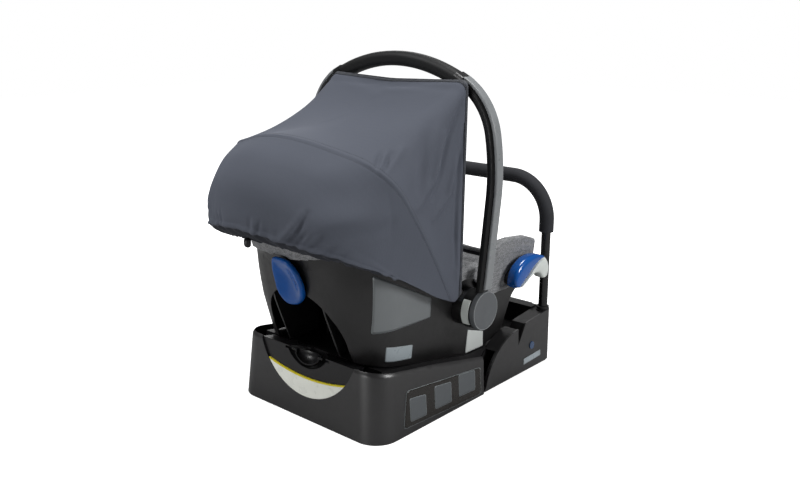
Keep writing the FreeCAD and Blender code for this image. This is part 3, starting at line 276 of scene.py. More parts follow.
def woven(name, colour, rib_mm=1.8):
    """Woven polyester webbing or tape: tight slanting ribs with a faint sheen."""
    material, tree, shader = start(name, Roughness=0.6, Specular_IOR_Level=0.35, Sheen_Weight=0.15)
    where = add(tree, COORDS, {}, "UV")
    ribs = add(tree, WAVE, {"Vector": where, "Scale": 1 / (rib_mm * MM) / BANDS, "Distortion": 0.3}, "Fac",
               bands_direction="DIAGONAL")
    cloud = add(tree, NOISE, {"Vector": where, "Scale": 1 / 0.02, "Detail": 3.0}, "Fac")
    dyed = add(tree, MIX, {0: cloud, 6: rgba(colour, 0.9), 7: rgba(colour, 1.1)}, 2, data_type="RGBA")
    tone = add(tree, MIX, {0: ribs, 6: rgba(colour, 0.65), 7: dyed}, 2, data_type="RGBA")
    skin = add(tree, BUMP, {"Height": ribs, "Distance": 0.25 * MM, "Strength": 0.7}, "Normal")
    wire(tree, shader, Base_Color=tone, Normal=skin)
    return material


# ---------- meshes ----------
@contextmanager
def edited(mesh):
    """A mesh opened for editing, and written back afterwards."""
    opened = bmesh.new()
    opened.from_mesh(mesh)
    yield opened
    opened.to_mesh(mesh)
    opened.free()


def shaded(name, points, faces, uvs=None):
    """A smooth-shaded mesh object at the origin; uvs, in metres, are one pair for each point."""
    mesh = bpy.data.meshes.new(name)
    mesh.from_pydata([tuple(p) for p in points], [], [tuple(f) for f in faces])
    mesh.validate()
    if uvs is not None:
        layer = mesh.uv_layers.new(name="UVMap")
        corners = np.empty(len(mesh.loops), dtype=int)
        mesh.loops.foreach_get("vertex_index", corners)
        layer.data.foreach_set("uv", np.asarray(uvs, dtype=float)[corners].ravel())
    made = bpy.data.objects.new(name, mesh)
    bpy.context.scene.collection.objects.link(made)
    with edited(mesh) as opened:
        bmesh.ops.recalc_face_normals(opened, faces=opened.faces)
    mesh.polygons.foreach_set("use_smooth", [True] * len(mesh.polygons))
    return made


def crease_edges(piece, degrees=35.0):
    """Keeps edges sharper than the angle crisp in a smooth-shaded mesh."""
    with edited(piece.data) as opened:
        for edge in opened.edges:
            edge.smooth = len(edge.link_faces) == 2 and edge.calc_face_angle(0.0) < math.radians(degrees)
    return piece


def grid_faces(rows, columns, first=0, round_rows=False, round_columns=False):
    """Quads between the points of a grid stored row by row; either way round may be closed."""
    faces = []
    for r in range(rows if round_rows else rows - 1):
        for c in range(columns if round_columns else columns - 1):
            r1, c1 = (r + 1) % rows, (c + 1) % columns
            faces.append((first + r * columns + c, first + r * columns + c1, first + r1 * columns + c1,
                          first + r1 * columns + c))
    return faces


def bar_faces(rings, sides):
    """Faces of a bar made of rings of points, with both its ends capped."""
    last = (rings - 1) * sides
    caps = [tuple(range(sides))[::-1], tuple(range(last, last + sides))]
    return grid_faces(rings, sides, round_columns=True) + caps


def normals_of(grid, outward):
    """Unit normals of a grid of points, rows x columns x 3, on the side that the outward vectors point to."""
    along, across = np.gradient(grid, axis=0), np.gradient(grid, axis=1)
    found = np.cross(across, along)
    found = found / np.maximum(np.linalg.norm(found, axis=2, keepdims=True), 1e-12)
    return -found if (found * outward).sum() < 0 else found


def sheet_shell(name, grid, thickness, outward):
    """A closed thin shell: the grid as its outer face, and the same grid set in by the thickness."""
    rows, columns = grid.shape[:2]
    inner = grid - normals_of(grid, outward) * thickness
    count = rows * columns
    faces = grid_faces(rows, columns) + [f[::-1] for f in grid_faces(rows, columns, count)]
    rim = [c for c in range(columns)] + [r * columns + columns - 1 for r in range(1, rows)]
    rim += [(rows - 1) * columns + c for c in range(columns - 2, -1, -1)]
    rim += [r * columns for r in range(rows - 2, 0, -1)]
    for a, b in zip(rim, rim[1:] + rim[:1]):
        faces.append((a, b, b + count, a + count))
    across = np.zeros((rows, columns))
    across[:, 1:] = np.cumsum(np.linalg.norm(np.diff(grid, axis=1), axis=2), axis=1)
    across -= across[:, columns // 2:columns // 2 + 1]
    along = np.zeros((rows, columns))
    along[1:] = np.cumsum(np.linalg.norm(np.diff(grid, axis=0), axis=2), axis=0)
    uv = np.dstack([across, along]).reshape(-1, 2)
    return shaded(name, np.vstack([grid.reshape(-1, 3), inner.reshape(-1, 3)]), faces, np.vstack([uv, uv]))


def swept(name, path, side, up, profile, closed=False):
    """A bar along a path: at each point the profile's (a, b) offsets lie along that point's side and up."""
    path, side, up = (np.asarray(v, dtype=float) for v in (path, side, up))
    profile = np.asarray(profile, dtype=float)
    count = len(profile)
    points = path[:, None] + side[:, None] * profile[None, :, :1] + up[:, None] * profile[None, :, 1:]
    faces = grid_faces(len(path), count, 0, True, True) if closed else bar_faces(len(path), count)
    run = np.concatenate([[0], np.cumsum(np.linalg.norm(np.diff(path, axis=0), axis=1))])
    girth = np.concatenate([[0], np.cumsum(np.linalg.norm(np.diff(profile, axis=0), axis=1))])
    uv = np.dstack(np.meshgrid(girth, run)).reshape(-1, 2)
    return shaded(name, points.reshape(-1, 3), faces, uv)


def strap_profile(width, thickness):
    """A flat band with rounded edges."""
    half, t = width / 2, thickness / 2
    across = (-half + t, -half * 0.5, 0, half * 0.5, half - t)
    return [(-half, 0)] + [(x, -t) for x in across] + [(half, 0)] + [(x, t) for x in across[::-1]]


def ring(name, path, radius, sides=10):
    """A round bar along a closed path."""
    path = np.asarray(path, dtype=float)
    ahead = np.roll(path, -1, axis=0) - np.roll(path, 1, axis=0)
    ahead /= np.linalg.norm(ahead, axis=1, keepdims=True)
    side = np.empty_like(path)
    last = Vector(ahead[0]).orthogonal().normalized()
    for i, direction in enumerate(ahead):
        last = (last - Vector(direction) * last.dot(Vector(direction))).normalized()
        side[i] = last
    turns = [2 * math.pi * i / sides for i in range(sides)]
    profile = [(radius * math.cos(turn), radius * math.sin(turn)) for turn in turns]
    return swept(name, path, side, np.cross(ahead, side), profile, True)


def paint(piece, *materials):
    piece.data.materials.clear()
    for material in materials:
        piece.data.materials.append(material)
    return piece


def cad_copy(node, name):
    """A welded copy of a CAD node's mesh."""
    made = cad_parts[node].copy()
    made.data = made.data.copy()
    made.name = name
    made.parent = None
    for key in list(made.keys()):
        del made[key]
    bpy.context.scene.collection.objects.link(made)
    with edited(made.data) as opened:
        bmesh.ops.remove_doubles(opened, verts=opened.verts, dist=0.02 * MM)
    return made


def apply_modifiers(piece):
    """Bakes a piece's modifiers into a plain mesh."""
    graph = bpy.context.evaluated_depsgraph_get()
    graph.update()
    mesh = bpy.data.meshes.new_from_object(piece.evaluated_get(graph), preserve_all_data_layers=True,
                                           depsgraph=graph)
    piece.modifiers.clear()
    piece.data = mesh
    return piece


def remeshed(piece, voxel):
    """One even skin of quads, with its edges softened."""
    made = piece.modifiers.new("skin", "REMESH")
    made.mode, made.voxel_size, made.use_smooth_shade = "VOXEL", voxel, True
    soften = piece.modifiers.new("soften", "SMOOTH")
    soften.factor, soften.iterations = 0.5, 3
    return apply_modifiers(piece)


def points_of(piece, key="co"):
    """The places of a mesh's points, or their normals when the key says so."""
    found = np.empty(len(piece.data.vertices) * 3)
    piece.data.vertices.foreach_get(key, found)
    return found.reshape(-1, 3)


def put_points(piece, points):
    piece.data.vertices.foreach_set("co", np.asarray(points, dtype=float).ravel())
    piece.data.update()


def stuffed(piece, voxel, reach, shrink):
    """Swells a closed form like a filled cushion: cloth under pressure, with a cap on how far a point moves."""
    remeshed(piece, voxel)
    put_points(piece, points_of(piece) - points_of(piece, "normal") * shrink)
    first = points_of(piece)
    cloth = piece.modifiers.new("fill", "CLOTH")
    cloth.settings.use_pressure = True
    cloth.settings.uniform_pressure_force = 4.0
    cloth.settings.effector_weights.gravity = 0.0
    cloth.settings.quality = 4
    cloth.point_cache.frame_start, cloth.point_cache.frame_end = 1, CLOTH_FRAMES
    for step in range(1, CLOTH_FRAMES + 1):
        bpy.context.scene.frame_set(step)
    apply_modifiers(piece)
    bpy.context.scene.frame_set(1)
    moved = points_of(piece) - first
    far = np.linalg.norm(moved, axis=1, keepdims=True)
    put_points(piece, first + moved * np.minimum(1.0, reach / np.maximum(far, 1e-9)))
    finer = piece.modifiers.new("finer", "SUBSURF")
    finer.levels = finer.render_levels = 1
    return apply_modifiers(piece)


def sewn(piece, lines, depth, width):
    """Presses seams into a skin: each line is a list of points, and the skin sinks by depth near it."""
    co, out = points_of(piece), points_of(piece, "normal")
    near = np.full(len(co), 1e9)
    for line in lines:
        for a, b in zip(line, line[1:]):
            a, b = np.asarray(a), np.asarray(b)
            share = np.clip(((co - a) @ (b - a)) / ((b - a) @ (b - a)), 0, 1)
            near = np.minimum(near, np.linalg.norm(co - a - share[:, None] * (b - a), axis=1))
    sink = depth * np.exp(-(near / width) ** 2)
    put_points(piece, co - out * sink[:, None])
    return piece


def rumpled(piece, height, scale_mm, seed):
    """Soft unevenness of cloth over padding."""
    co, out = points_of(piece), points_of(piece, "normal")
    wave = np.array([noise.noise(Vector(p) / (scale_mm * MM) + Vector((seed, 0, 0))) for p in co])
    put_points(piece, co + out * (wave * height)[:, None])
    return piece


# ---------- stitches ----------
def thread_tree(material):
    """Geometry Nodes: threads of one length laid at an even pitch along the edges of a mesh."""
    tree = bpy.data.node_groups.new("Stitches", "GeometryNodeTree")
    face = tree.interface
    face.new_socket("Line", in_out="INPUT", socket_type="NodeSocketGeometry")
    for name in ("Pitch", "Length", "Thread"):
        face.new_socket(name, in_out="INPUT", socket_type="NodeSocketFloat")
    face.new_socket("Stitches", in_out="OUTPUT", socket_type="NodeSocketGeometry")
    ends = tree.nodes.new("NodeGroupInput").outputs
    line = add(tree, "GeometryNodeMeshToCurve", {"Mesh": ends["Line"]})
    marks = add(tree, "GeometryNodeResampleCurve", {"Curve": line, "Length": ends["Pitch"]}, mode="LENGTH")
    ahead = add(tree, "GeometryNodeInputTangent", {})
    turned = add(tree, "FunctionNodeAlignRotationToVector", {"Vector": ahead}, axis="Z")
    bead = add(tree, "GeometryNodeMeshUVSphere", {"Segments": 6, "Rings": 4, "Radius": 0.5})
    size = add(tree, "ShaderNodeCombineXYZ", {"X": ends["Thread"], "Y": ends["Thread"], "Z": ends["Length"]})
    laid = add(tree, "GeometryNodeInstanceOnPoints", {"Points": marks, "Instance": bead, "Rotation": turned,
                                                      "Scale": size})
    real = add(tree, "GeometryNodeRealizeInstances", {"Geometry": laid})
    smooth = add(tree, "GeometryNodeSetShadeSmooth", {0: real})
    done = add(tree, "GeometryNodeSetMaterial", {"Geometry": smooth, "Material": material})
    tree.links.new(done, tree.nodes.new("NodeGroupOutput").inputs["Stitches"])
    return tree


def stitched(name, lines, material):
    """A piece that is all the stitches along some lines of points."""
    points, edges = [], []
    for line in lines:
        first = len(points)
        points += [tuple(p) for p in line]
        edges += [(first + i, first + i + 1) for i in range(len(line) - 1)]
    mesh = bpy.data.meshes.new(name)
    mesh.from_pydata(points, edges, [])
    made = bpy.data.objects.new(name, mesh)
    bpy.context.scene.collection.objects.link(made)
    size = sizes()
    tree = thread_tree(material)
    thread = made.modifiers.new(tree.name, "NODES")
    thread.node_group = tree
    given = {"Pitch": size.stitch_pitch, "Length": size.stitch_length, "Thread": size.thread}
    for item in tree.interface.items_tree:
        if item.name in given:
            thread[item.identifier] = given[item.name]
    return paint(apply_modifiers(made), material)


# ---------- laying things on surfaces ----------
def surface_of(*pieces):
    """A search tree over the faces of some pieces."""
    points, faces = [], []
    for piece in pieces:
        first = len(points)
        points += [v.co.copy() for v in piece.data.vertices]
        faces += [[first + i for i in p.vertices] for p in piece.data.polygons]
    return BVHTree.FromPolygons(points, faces)


def cast(tree, starts, aim, lift=0.0):
    """Where rays from the starts along the aim meet a surface, lifted off it; rays that miss are left out."""
    found = []
    for begin in starts:
        spot, normal, _, _ = tree.ray_cast(Vector(begin), Vector(aim))
        if spot is not None:
            if normal.dot(Vector(aim)) > 0:
                normal = -normal
            found.append(spot + normal * lift)
    return found


def laid_plate(name, tree, corners, material, thickness, inset, radius):
    """A thin film stuck on a surface: a round-cornered plate to the right of it, cast onto it."""
    a, b, c, d = (np.asarray(v, dtype=float) * MM for v in corners)
    wide, tall = np.linalg.norm(b - a) / 2, np.linalg.norm(d - a) / 2
    round_u, round_v = radius / wide, radius / tall
    grid = np.empty((24, 40, 3))
    for i, v in enumerate(np.linspace(-1, 1, grid.shape[0])):
        for j, u in enumerate(np.linspace(-1, 1, grid.shape[1])):
            over_u, over_v = (abs(u) - 1 + round_u) / round_u, (abs(v) - 1 + round_v) / round_v
            p, q = u, v
            if over_u > 0 and over_v > 0:
                pull = max(over_u, over_v) / math.hypot(over_u, over_v)
                p = math.copysign(1 - round_u + over_u * pull * round_u, u)
                q = math.copysign(1 - round_v + over_v * pull * round_v, v)
            p, q = p * (1 - inset / wide), q * (1 - inset / tall)
            s, t = (p + 1) / 2, (q + 1) / 2
            begin = (a * (1 - s) + b * s) * (1 - t) + (d * (1 - s) + c * s) * t
            grid[i, j] = cast(tree, [begin], (-1, 0, 0), thickness)[0]
    return paint(sheet_shell(name, grid, thickness, (1, 0, 0)), material)


def strap_run(node, cuts):
    """The middle of a flat strap and its width, where level cuts across Y meet its CAD node."""
    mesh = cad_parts[node].data
    co = np.array([v.co for v in mesh.vertices])
    ends = np.array([tuple(e.vertices) for e in mesh.edges])
    a, b = co[ends[:, 0]], co[ends[:, 1]]
    line, widths = [], []
    for y in cuts:
        crossing = (a[:, 1] - y) * (b[:, 1] - y) < 0
        share = (y - a[crossing, 1]) / (b[crossing, 1] - a[crossing, 1])
        spots = a[crossing] + share[:, None] * (b[crossing] - a[crossing])
        low, high = spots.min(axis=0), spots.max(axis=0)
        line.append((low + high) / 2)
        widths.append(high[0] - low[0])
    return np.array(line), float(np.median(widths))


def webbing(name, line, width, thickness, material):
    """Woven webbing along a line, flat side up."""
    ahead = np.gradient(line, axis=0)
    ahead /= np.linalg.norm(ahead, axis=1, keepdims=True)
    side = np.tile((1.0, 0.0, 0.0), (len(line), 1))
    side -= ahead * (side * ahead).sum(axis=1, keepdims=True)
    side /= np.linalg.norm(side, axis=1, keepdims=True)
    return paint(swept(name, line, side, np.cross(side, ahead), strap_profile(width, thickness)), material)


def held_by(body, piece, node=None):
    """Puts a piece on a body, in place of a CAD node where one is named."""
    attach(piece, body)
    if node:
        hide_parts(node)


# ---------- pieces drawn away from their solids ----------
def eased(share):
    """0 to 1 with soft ends."""
    share = np.clip(share, 0, 1)
    return share * share * (3 - 2 * share)


def divided(piece, longest, from_middle):
    """Cuts the long edges near the two ends until none is longer than the length."""
    with edited(piece.data) as opened:
        for _ in range(6):
            long = [e for e in opened.edges
                    if e.calc_length() > longest and max(abs(v.co.y) for v in e.verts) > from_middle]
            if not long:
                break
            bmesh.ops.subdivide_edges(opened, edges=long, cuts=1)
            bmesh.ops.triangulate(opened, faces=[f for f in opened.faces if len(f.verts) > 3])
    return piece


HEAD_OUT = 21            # how much longer the base's head end is than its solid, in mm


def drawn_out(piece):
    """Makes the base's head end longer than its solid."""
    x, y, z = points_of(piece).T / MM
    put_points(piece, np.column_stack([x, y - HEAD_OUT * eased((-y - 100) / 130), z]) * MM)
    return piece


def slimmed(paddle):
    """Makes the paddle smaller about the middle of its drawn-out pocket, so that it swings clear of it."""
    middle = np.array((0.0, -236 - HEAD_OUT, 122))
    put_points(paddle, (middle + (points_of(paddle) / MM - middle) * (0.70, 0.77, 0.77)) * MM)


def raised_rim(shell):
    """Lifts the shell's rim at the two corners of its head end, where it stands under the hood's hem."""
    x, y, z = points_of(shell).T / MM
    up = np.interp(z, (245, 310), (0, 1)) * np.interp(np.abs(x), (50, 110), (0, 1))
    up *= np.interp(y, (-335, -300, -200, -130), (0.4, 1, 1, 0))
    put_points(shell, np.column_stack([x, y, z + 20 * up]) * MM)


def lined(shell, cloth):
    """Gives the inside of the carrier its cloth: the faces that look inwards and have nothing above them."""
    sky = surface_of(shell)
    shell.data.materials.append(cloth)
    for face in shell.data.polygons:
        spot, normal = face.center, face.normal
        inwards = Vector((-spot.x, -spot.y * 0.3, 0.12)).normalized()
        if spot.z > 0.12 and normal.dot(inwards) > 0.25:
            if sky.ray_cast(spot + normal * 0.002, Vector((0, 0, 1)))[0] is None:
                face.material_index = 1


CORNER_X, CORNER_Y = 0.748, 0.664        # the way that the head end's corners face, in plan
# heights in mm, and how far the head end draws in there, how much rounder its corners get, and how far out
# they reach
SHORTER = (110, 158, 212, 266, 302, 400), (0, 3.5, 8, 16, 22, 24)
ROUNDER = (110, 158, 212, 266, 302, 330, 400), (0, 4, 8, 15, 22, 26, 28)
OUTERMOST = (120, 200, 302, 340), (249, 268, 291, 301)


def drawn_in(piece):
    """Makes the carrier's head end shorter and rounder in plan than its solid, more so towards the rim, and
    lets the middle of its foot end dip."""
    x, y, z = points_of(piece).T / MM
    shorter, rounder, outermost = (np.interp(z, *at) for at in (SHORTER, ROUNDER, OUTERMOST))
    y = y + shorter * eased((-y - 110) / 160)
    slant = np.abs(x) * CORNER_X - y * CORNER_Y
    first = outermost - rounder - 70
    move = rounder * np.clip((slant - first) / (outermost - first), 0, 1.1) ** 2
    dip = 0.25 * eased((y - 110) / 90) * eased((165 - np.abs(x)) / 60)
    z = z - dip * np.clip(z - 110, 0, None)
    x = x - CORNER_X * move * x / (np.abs(x) + 15)
    put_points(piece, np.column_stack([x, y + CORNER_Y * move, z]) * MM)
    return piece


# the cover's edges on the flanks, head end first, as (y, z) in mm: the top of the roll, the skirt's foot in the
# frame, and the foot drawn up under the hood's hem
COVER_TOP = ((-380, 384), (-330, 359), (-250, 327), (-150, 291), (-60, 268), (10, 268))
COVER_LOW = ((-380, 330), (-330, 306), (-250, 276), (-150, 252), (-60, 240), (0, 240))
COVER_HEM = ((-380, 330), (-330, 316), (-290, 316), (-250, 314), (-209, 294), (-150, 262), (-100, 244),
             (-60, 240), (0, 240))


def joined(piece, other):
    """Adds another piece's mesh to a piece."""
    with edited(piece.data) as both:
        both.from_mesh(other.data)
    bpy.data.objects.remove(other)


def patch_grid(tree, side):
    """A grid that closes the gap round a hook's root, bent like the cover at its two ends and its top."""
    ys, zs = np.linspace(0.044, 0.170, 30), np.linspace(0.197, 0.256, 20)

    def depth(y, z):
        spot, _, _, _ = tree.ray_cast(Vector((side * 0.3, y, z)), Vector((-side, 0, 0)))
        return abs(spot.x) if spot else 0.19
    first, last = (np.array([[depth(y, z)] for z in zs]) for y in (ys[0], ys[-1]))
    share = (ys - ys[0]) / (ys[-1] - ys[0])
    flat = first * (1 - share) + last * share
    bulge = np.array([depth(y, zs[-1]) for y in ys]) - flat[-1]
    return np.dstack([side * (flat + bulge), *np.meshgrid(ys, zs)])


# ---------- the belt hooks ----------
# the rear hook's leaf seen from the head end, as (x, z) in mm
LEAF = ((9, 321), (-6, 318), (-15, 304), (-26, 270), (-31, 240), (-21, 223), (7, 225), (34, 246), (44, 280),
        (40, 304), (30, 317))


LEAF_THICK, LEAF_DISH, LEAF_SIDES = 0.011, 0.010, 128
LEAF_LEAN = 0.43         # how far the wall behind the leaf leans, along Y for a unit of height
LEAF_Y, LEAF_Z = -0.3165, 0.291          # a point of the leaf's face, which the lean runs through


def drawn_leaf(name):
    """The rear hook: a leaf dished across its face inside a rounded rim, leaning with the wall behind it."""
    loop = np.array(LEAF + LEAF[:1], dtype=float) * MM
    padded = np.vstack([loop[-3:-1], loop, loop[1:3]])
    outline = through(padded[:, None, :], 600)[:, 0]
    gone = np.concatenate([[0], np.cumsum(np.linalg.norm(np.diff(outline, axis=0), axis=1))])
    starts = [int(np.linalg.norm(outline[k:k + 300] - loop[0], axis=1).argmin()) + k for k in (0, 300)]
    at = np.linspace(gone[starts[0]], gone[starts[1]], LEAF_SIDES + 1)[:-1]
    rim = np.column_stack([np.interp(at, gone, outline[:, 0]), np.interp(at, gone, outline[:, 1])])
    middle = rim.mean(axis=0)
    profile = [(r, LEAF_DISH * (1 - (r / 0.9) ** 2) ** 1.6) for r in np.linspace(0.04, 0.9, 18)]
    turns = np.linspace(0.2, np.pi - 0.2, 12)
    profile += [(0.9 + 0.1 * math.sin(t), LEAF_THICK / 2 * (1 - math.cos(t))) for t in turns]
    profile += [(r, LEAF_THICK) for r in np.linspace(0.84, 0.04, 8)]
    points = []
    for share, deep in profile:
        spot = middle + (rim - middle) * share
        y = LEAF_Y - LEAF_LEAN * (spot[:, 1] - LEAF_Z) + deep
        points += list(zip(spot[:, 0], y, spot[:, 1]))
    return shaded(name, points, bar_faces(len(profile), LEAF_SIDES))




# a lap-belt hook in side view, from its foot to its tip, as (y, z) in mm: the blue back, the joint between the
# two colours, the pale inside, and the black root under it
HOOK_BACK = ((88, 206.5), (85.5, 222), (91, 241), (110, 256), (142, 262.5), (170, 258.5), (185, 251.5))
HOOK_JOINT = ((98, 206.5), (110, 211.5), (126, 220.5), (144, 233), (161, 244), (176, 250), (185, 251.3))
HOOK_CURL = ((99.5, 205.8), (112, 210.8), (127.5, 219.6), (145, 232), (162, 243), (176, 249.1), (186, 250.6),
             (197, 242.5), (203, 227), (198.5, 212.5), (188, 206))
HOOK_INSIDE = ((101, 205), (115, 209.5), (131, 216.5), (148, 221.5), (162.5, 221.8), (170, 219.5), (175, 215),
               (178, 211), (180, 208.5), (182, 207), (184, 206))
ROOT_TOP, ROOT_LOW = ((94, 226), (118, 240), (164, 236)), ((99, 208), (130, 196), (163, 203))


def pebble(name, back, front, x_low, x_high, squareness=3.4, rows=72, sides=32):
    """A smooth moulding between two side-view lines, with its cross-section a rounded rectangle."""
    back, front = (through(np.array([[(0.0, y, z)] for y, z in line]) * MM, rows)[:, 0]
                   for line in (back, front))
    middle, half = (back + front) / 2, (front - back) / 2
    ends = np.clip(np.minimum(np.arange(rows), np.arange(rows)[::-1]) / 5, 0, 1)
    swell = np.sqrt(1 - (1 - ends) ** 2) * 0.97 + 0.03
    angles = np.linspace(0, 2 * np.pi, sides, endpoint=False)
    across = np.sign(np.cos(angles)) * np.abs(np.cos(angles)) ** (2 / squareness)
    depth = np.sign(np.sin(angles)) * np.abs(np.sin(angles)) ** (2 / squareness)
    points = middle[:, None] + half[:, None] * across[:, None] * swell[:, None, None]
    points[..., 0] = (x_low + x_high) / 2 * MM + depth[None] * swell[:, None] * (x_high - x_low) / 2 * MM
    return shaded(name, points.reshape(-1, 3), bar_faces(rows, sides))


def mirrored_copy(piece, name):
    """The same piece on the other side of the centre plane."""
    mesh = piece.data
    points = [(-v.co.x, v.co.y, v.co.z) for v in mesh.vertices]
    return shaded(name, points, [tuple(p.vertices)[::-1] for p in mesh.polygons])


# ---------- the hood's shape ----------
# arches from the front edge to the head-end hem, in mm: foot x, y, z; apex y, z; half width at the shoulders;
# rise of the crown over the shoulders; shoulder and crown radius; how far the arch bows forwards halfway up.
# The fourth lies on the bow and makes the sharp ridge.
HOOD_ARCHES = (
    (196.0, -60, 232, -27, 600, 177, -6, 14, 500, 0),
    (195.0, -68, 224, -112, 553, 177, -2, 45, 500, 0),
    (193.5, -76, 219, -212, 530, 186, 16, 75, 400, 5),
    (192.0, -84, 221, -309, 534, 198, 66, 84, 280, 16),
    (192.0, -126, 240, -378, 503, 188, 80, 130, 200, 14),
    (191.0, -180, 272, -416, 442, 184, 84, 150, 160, 0),
    (189.0, -230, 300, -413, 388, 180, 70, 140, 160, 0),
    (177.0, -246, 306, -357, 353, 132, 36, 98, 150, 0),
)
RIDGE = 3
HEM_TURN = 1.77          # the place where the cloth turns under at the head end
PUCKER, TURN_RISE = 0.9, 2.6             # height in mm of the hem's gathers, and of its roll where it turns
LEFT_WIDTH = (0.86, 0.97, 0.94)          # how wide the left side is beside the right: front edge, ridge, hem
FRONT_ROWS, REAR_ROWS = 70, 90
SIDE, SHOULDER, CROWN = 80, 39, 42


def round_corner(before, corner, after, radius):
    """Start, centre, and end of the arc that rounds a corner."""
    back, ahead = before - corner, after - corner
    back, ahead = back / np.linalg.norm(back), ahead / np.linalg.norm(ahead)
    half = math.acos(float(np.clip(back @ ahead, -1, 1))) / 2
    reach = radius / math.tan(half)
    middle = (back + ahead) / np.linalg.norm(back + ahead) * (radius / math.sin(half))
    return corner + back * reach, corner + middle, corner + ahead * reach


def arc_points(start_at, centre, end, count):
    a, b = start_at - centre, end - centre
    first, last = math.atan2(a[1], a[0]), math.atan2(b[1], b[0])
    turn = (last - first + math.pi) % (2 * math.pi) - math.pi
    angles = first + turn * np.linspace(0, 1, count)
    return centre + np.linalg.norm(a) * np.column_stack([np.cos(angles), np.sin(angles)])


def arch_line(arch):
    """Points of one arch, from its right foot over the crown to its left foot."""
    foot_x, foot_y, foot_z, top_y, top_z, half_top, rise, radius, crown_r, belly = arch
    height = math.hypot(top_y - foot_y, top_z - foot_z)
    foot, shoulder, top = np.array([(foot_x, 0.0), (half_top, height - rise), (0.0, height)])
    bend = round_corner(foot, shoulder, top, radius)
    crown = round_corner(shoulder, top, shoulder * (-1, 1), crown_r)
    share = np.linspace(0, 1, SIDE + 1)[:-1, None]
    side = foot + (bend[0] - foot) * share
    shoulder_arc = arc_points(bend[0], bend[1], bend[2], SHOULDER + 1)[:-1]
    middle = np.array([0.0, crown[1][1] + np.sign(crown[0][1] - crown[1][1]) * crown_r])
    roof = np.vstack([bend[2] + (crown[0] - bend[2]) * np.linspace(0, 1, 9)[:-1, None],
                      arc_points(crown[0], crown[1], middle, CROWN - 7)])
    half = np.vstack([side, shoulder_arc, roof])
    up_y, up_z = (top_y - foot_y) / height, (top_z - foot_z) / height
    full = np.vstack([half, half[-2::-1] * (-1, 1)])
    bowed = belly * np.sin(np.pi * np.clip(full[:, 1] / height, 0, 1))
    return np.column_stack([full[:, 0], foot_y + full[:, 1] * up_y + bowed * up_z,
                            foot_z + full[:, 1] * up_z - bowed * up_y]) * MM


def through(rows, samples):
    """Smooth curves through rows of points, sampled evenly along them."""
    rows = np.asarray(rows)
    gaps = np.linalg.norm(np.diff(rows, axis=0), axis=2).mean(axis=1)
    at = np.concatenate([[0], np.cumsum(gaps)])
    slopes = np.empty_like(rows)
    steps = np.diff(rows, axis=0) / gaps[:, None, None]
    slopes[0], slopes[-1] = steps[0], steps[-1]
    for i in range(1, len(rows) - 1):
        slopes[i] = (steps[i - 1] * gaps[i] + steps[i] * gaps[i - 1]) / (gaps[i - 1] + gaps[i])
    found = []
    for s in np.linspace(0, at[-1], samples):
        i = min(int(np.searchsorted(at, s, side="right")) - 1, len(rows) - 2)
        t, h = (s - at[i]) / gaps[i], gaps[i]
        found.append((2 * t ** 3 - 3 * t ** 2 + 1) * rows[i] + (t ** 3 - 2 * t ** 2 + t) * h * slopes[i]
                     + (3 * t ** 2 - 2 * t ** 3) * rows[i + 1] + (t ** 3 - t ** 2) * h * slopes[i + 1])
    return np.array(found)


# folds of the stretched jersey: points as (share up from the foot, place), where the place runs 0 at the front
# edge, 1 at the ridge and 2 at the hem; then the width in mm, and the height on the right and on the left side
HOOD_FOLDS = (
    (((0.49, 0.34), (0.43, 0.56), (0.41, 0.88)), 7, 3.4, 2.4),
    (((0.485, 0.08), (0.46, 0.28), (0.405, 0.44), (0.385, 0.62)), 5, -3.6, -2.4),
    (((0.375, 0.17), (0.325, 0.38), (0.33, 0.68)), 6, 3.2, 2.2),
    (((0.36, 0.08), (0.30, 0.28), (0.29, 0.44)), 4.5, -2.6, -1.8),
    (((0.42, 0.04), (0.28, 0.17), (0.185, 0.28), (0.10, 0.34)), 4.5, -2.8, -2.0),
    (((0.24, 0.16), (0.15, 0.24), (0.06, 0.30)), 6, 2.2, 1.6),
    (((0.60, 0.44), (0.53, 0.62), (0.475, 0.74)), 13, -3.0, -2.0),
    (((0.56, 0.38), (0.50, 0.54), (0.45, 0.70)), 8, 2.0, 1.4),
    (((0.665, 0.84), (0.64, 0.98)), 4, -2.4, -1.6), (((0.65, 0.82), (0.628, 0.97)), 4, 1.8, 1.2),
    (((0.635, 0.78), (0.615, 0.94)), 4.5, -2.6, -1.6), (((0.62, 0.68), (0.60, 0.92)), 7, 2.2, 1.4),
    (((0.92, 0.03), (0.80, 0.09), (0.70, 0.10)), 9, -1.6, -1.6),
    (((0.62, 0.03), (0.80, 0.16), (0.90, 0.20)), 12, 1.6, 1.2),
    (((0.694, 1.53), (0.702, 1.63), (0.718, 1.72), (0.75, 1.80)), 3.2, -3.2, -2.0),
    (((0.710, 1.55), (0.722, 1.65), (0.74, 1.73), (0.77, 1.80)), 5.5, 2.4, 1.6),
    (((0.690, 1.66), (0.718, 1.80)), 3.6, -2.6, -1.8), (((0.672, 1.64), (0.705, 1.80)), 4.5, 2.0, 1.4),
    (((0.650, 1.64), (0.694, 1.80)), 4.5, -2.6, -1.8), (((0.62, 1.67), (0.66, 1.80)), 5, -2.2, -1.6),
    (((0.59, 1.70), (0.62, 1.81)), 5, -1.8, -1.6), (((0.82, 1.70), (0.83, 1.80)), 4, -1.4, -1.4),
    (((0.88, 1.68), (0.88, 1.80)), 4, -1.2, -1.4), (((0.85, 1.70), (0.855, 1.80)), 5, 1.2, 1.2),
    (((0.70, 1.68), (0.645, 1.59), (0.565, 1.42), (0.50, 1.20)), 36, 8.0, 2.0),
    (((0.70, 1.74), (0.62, 1.60), (0.54, 1.44), (0.48, 1.26)), 12, -2.6, -1.6),
)


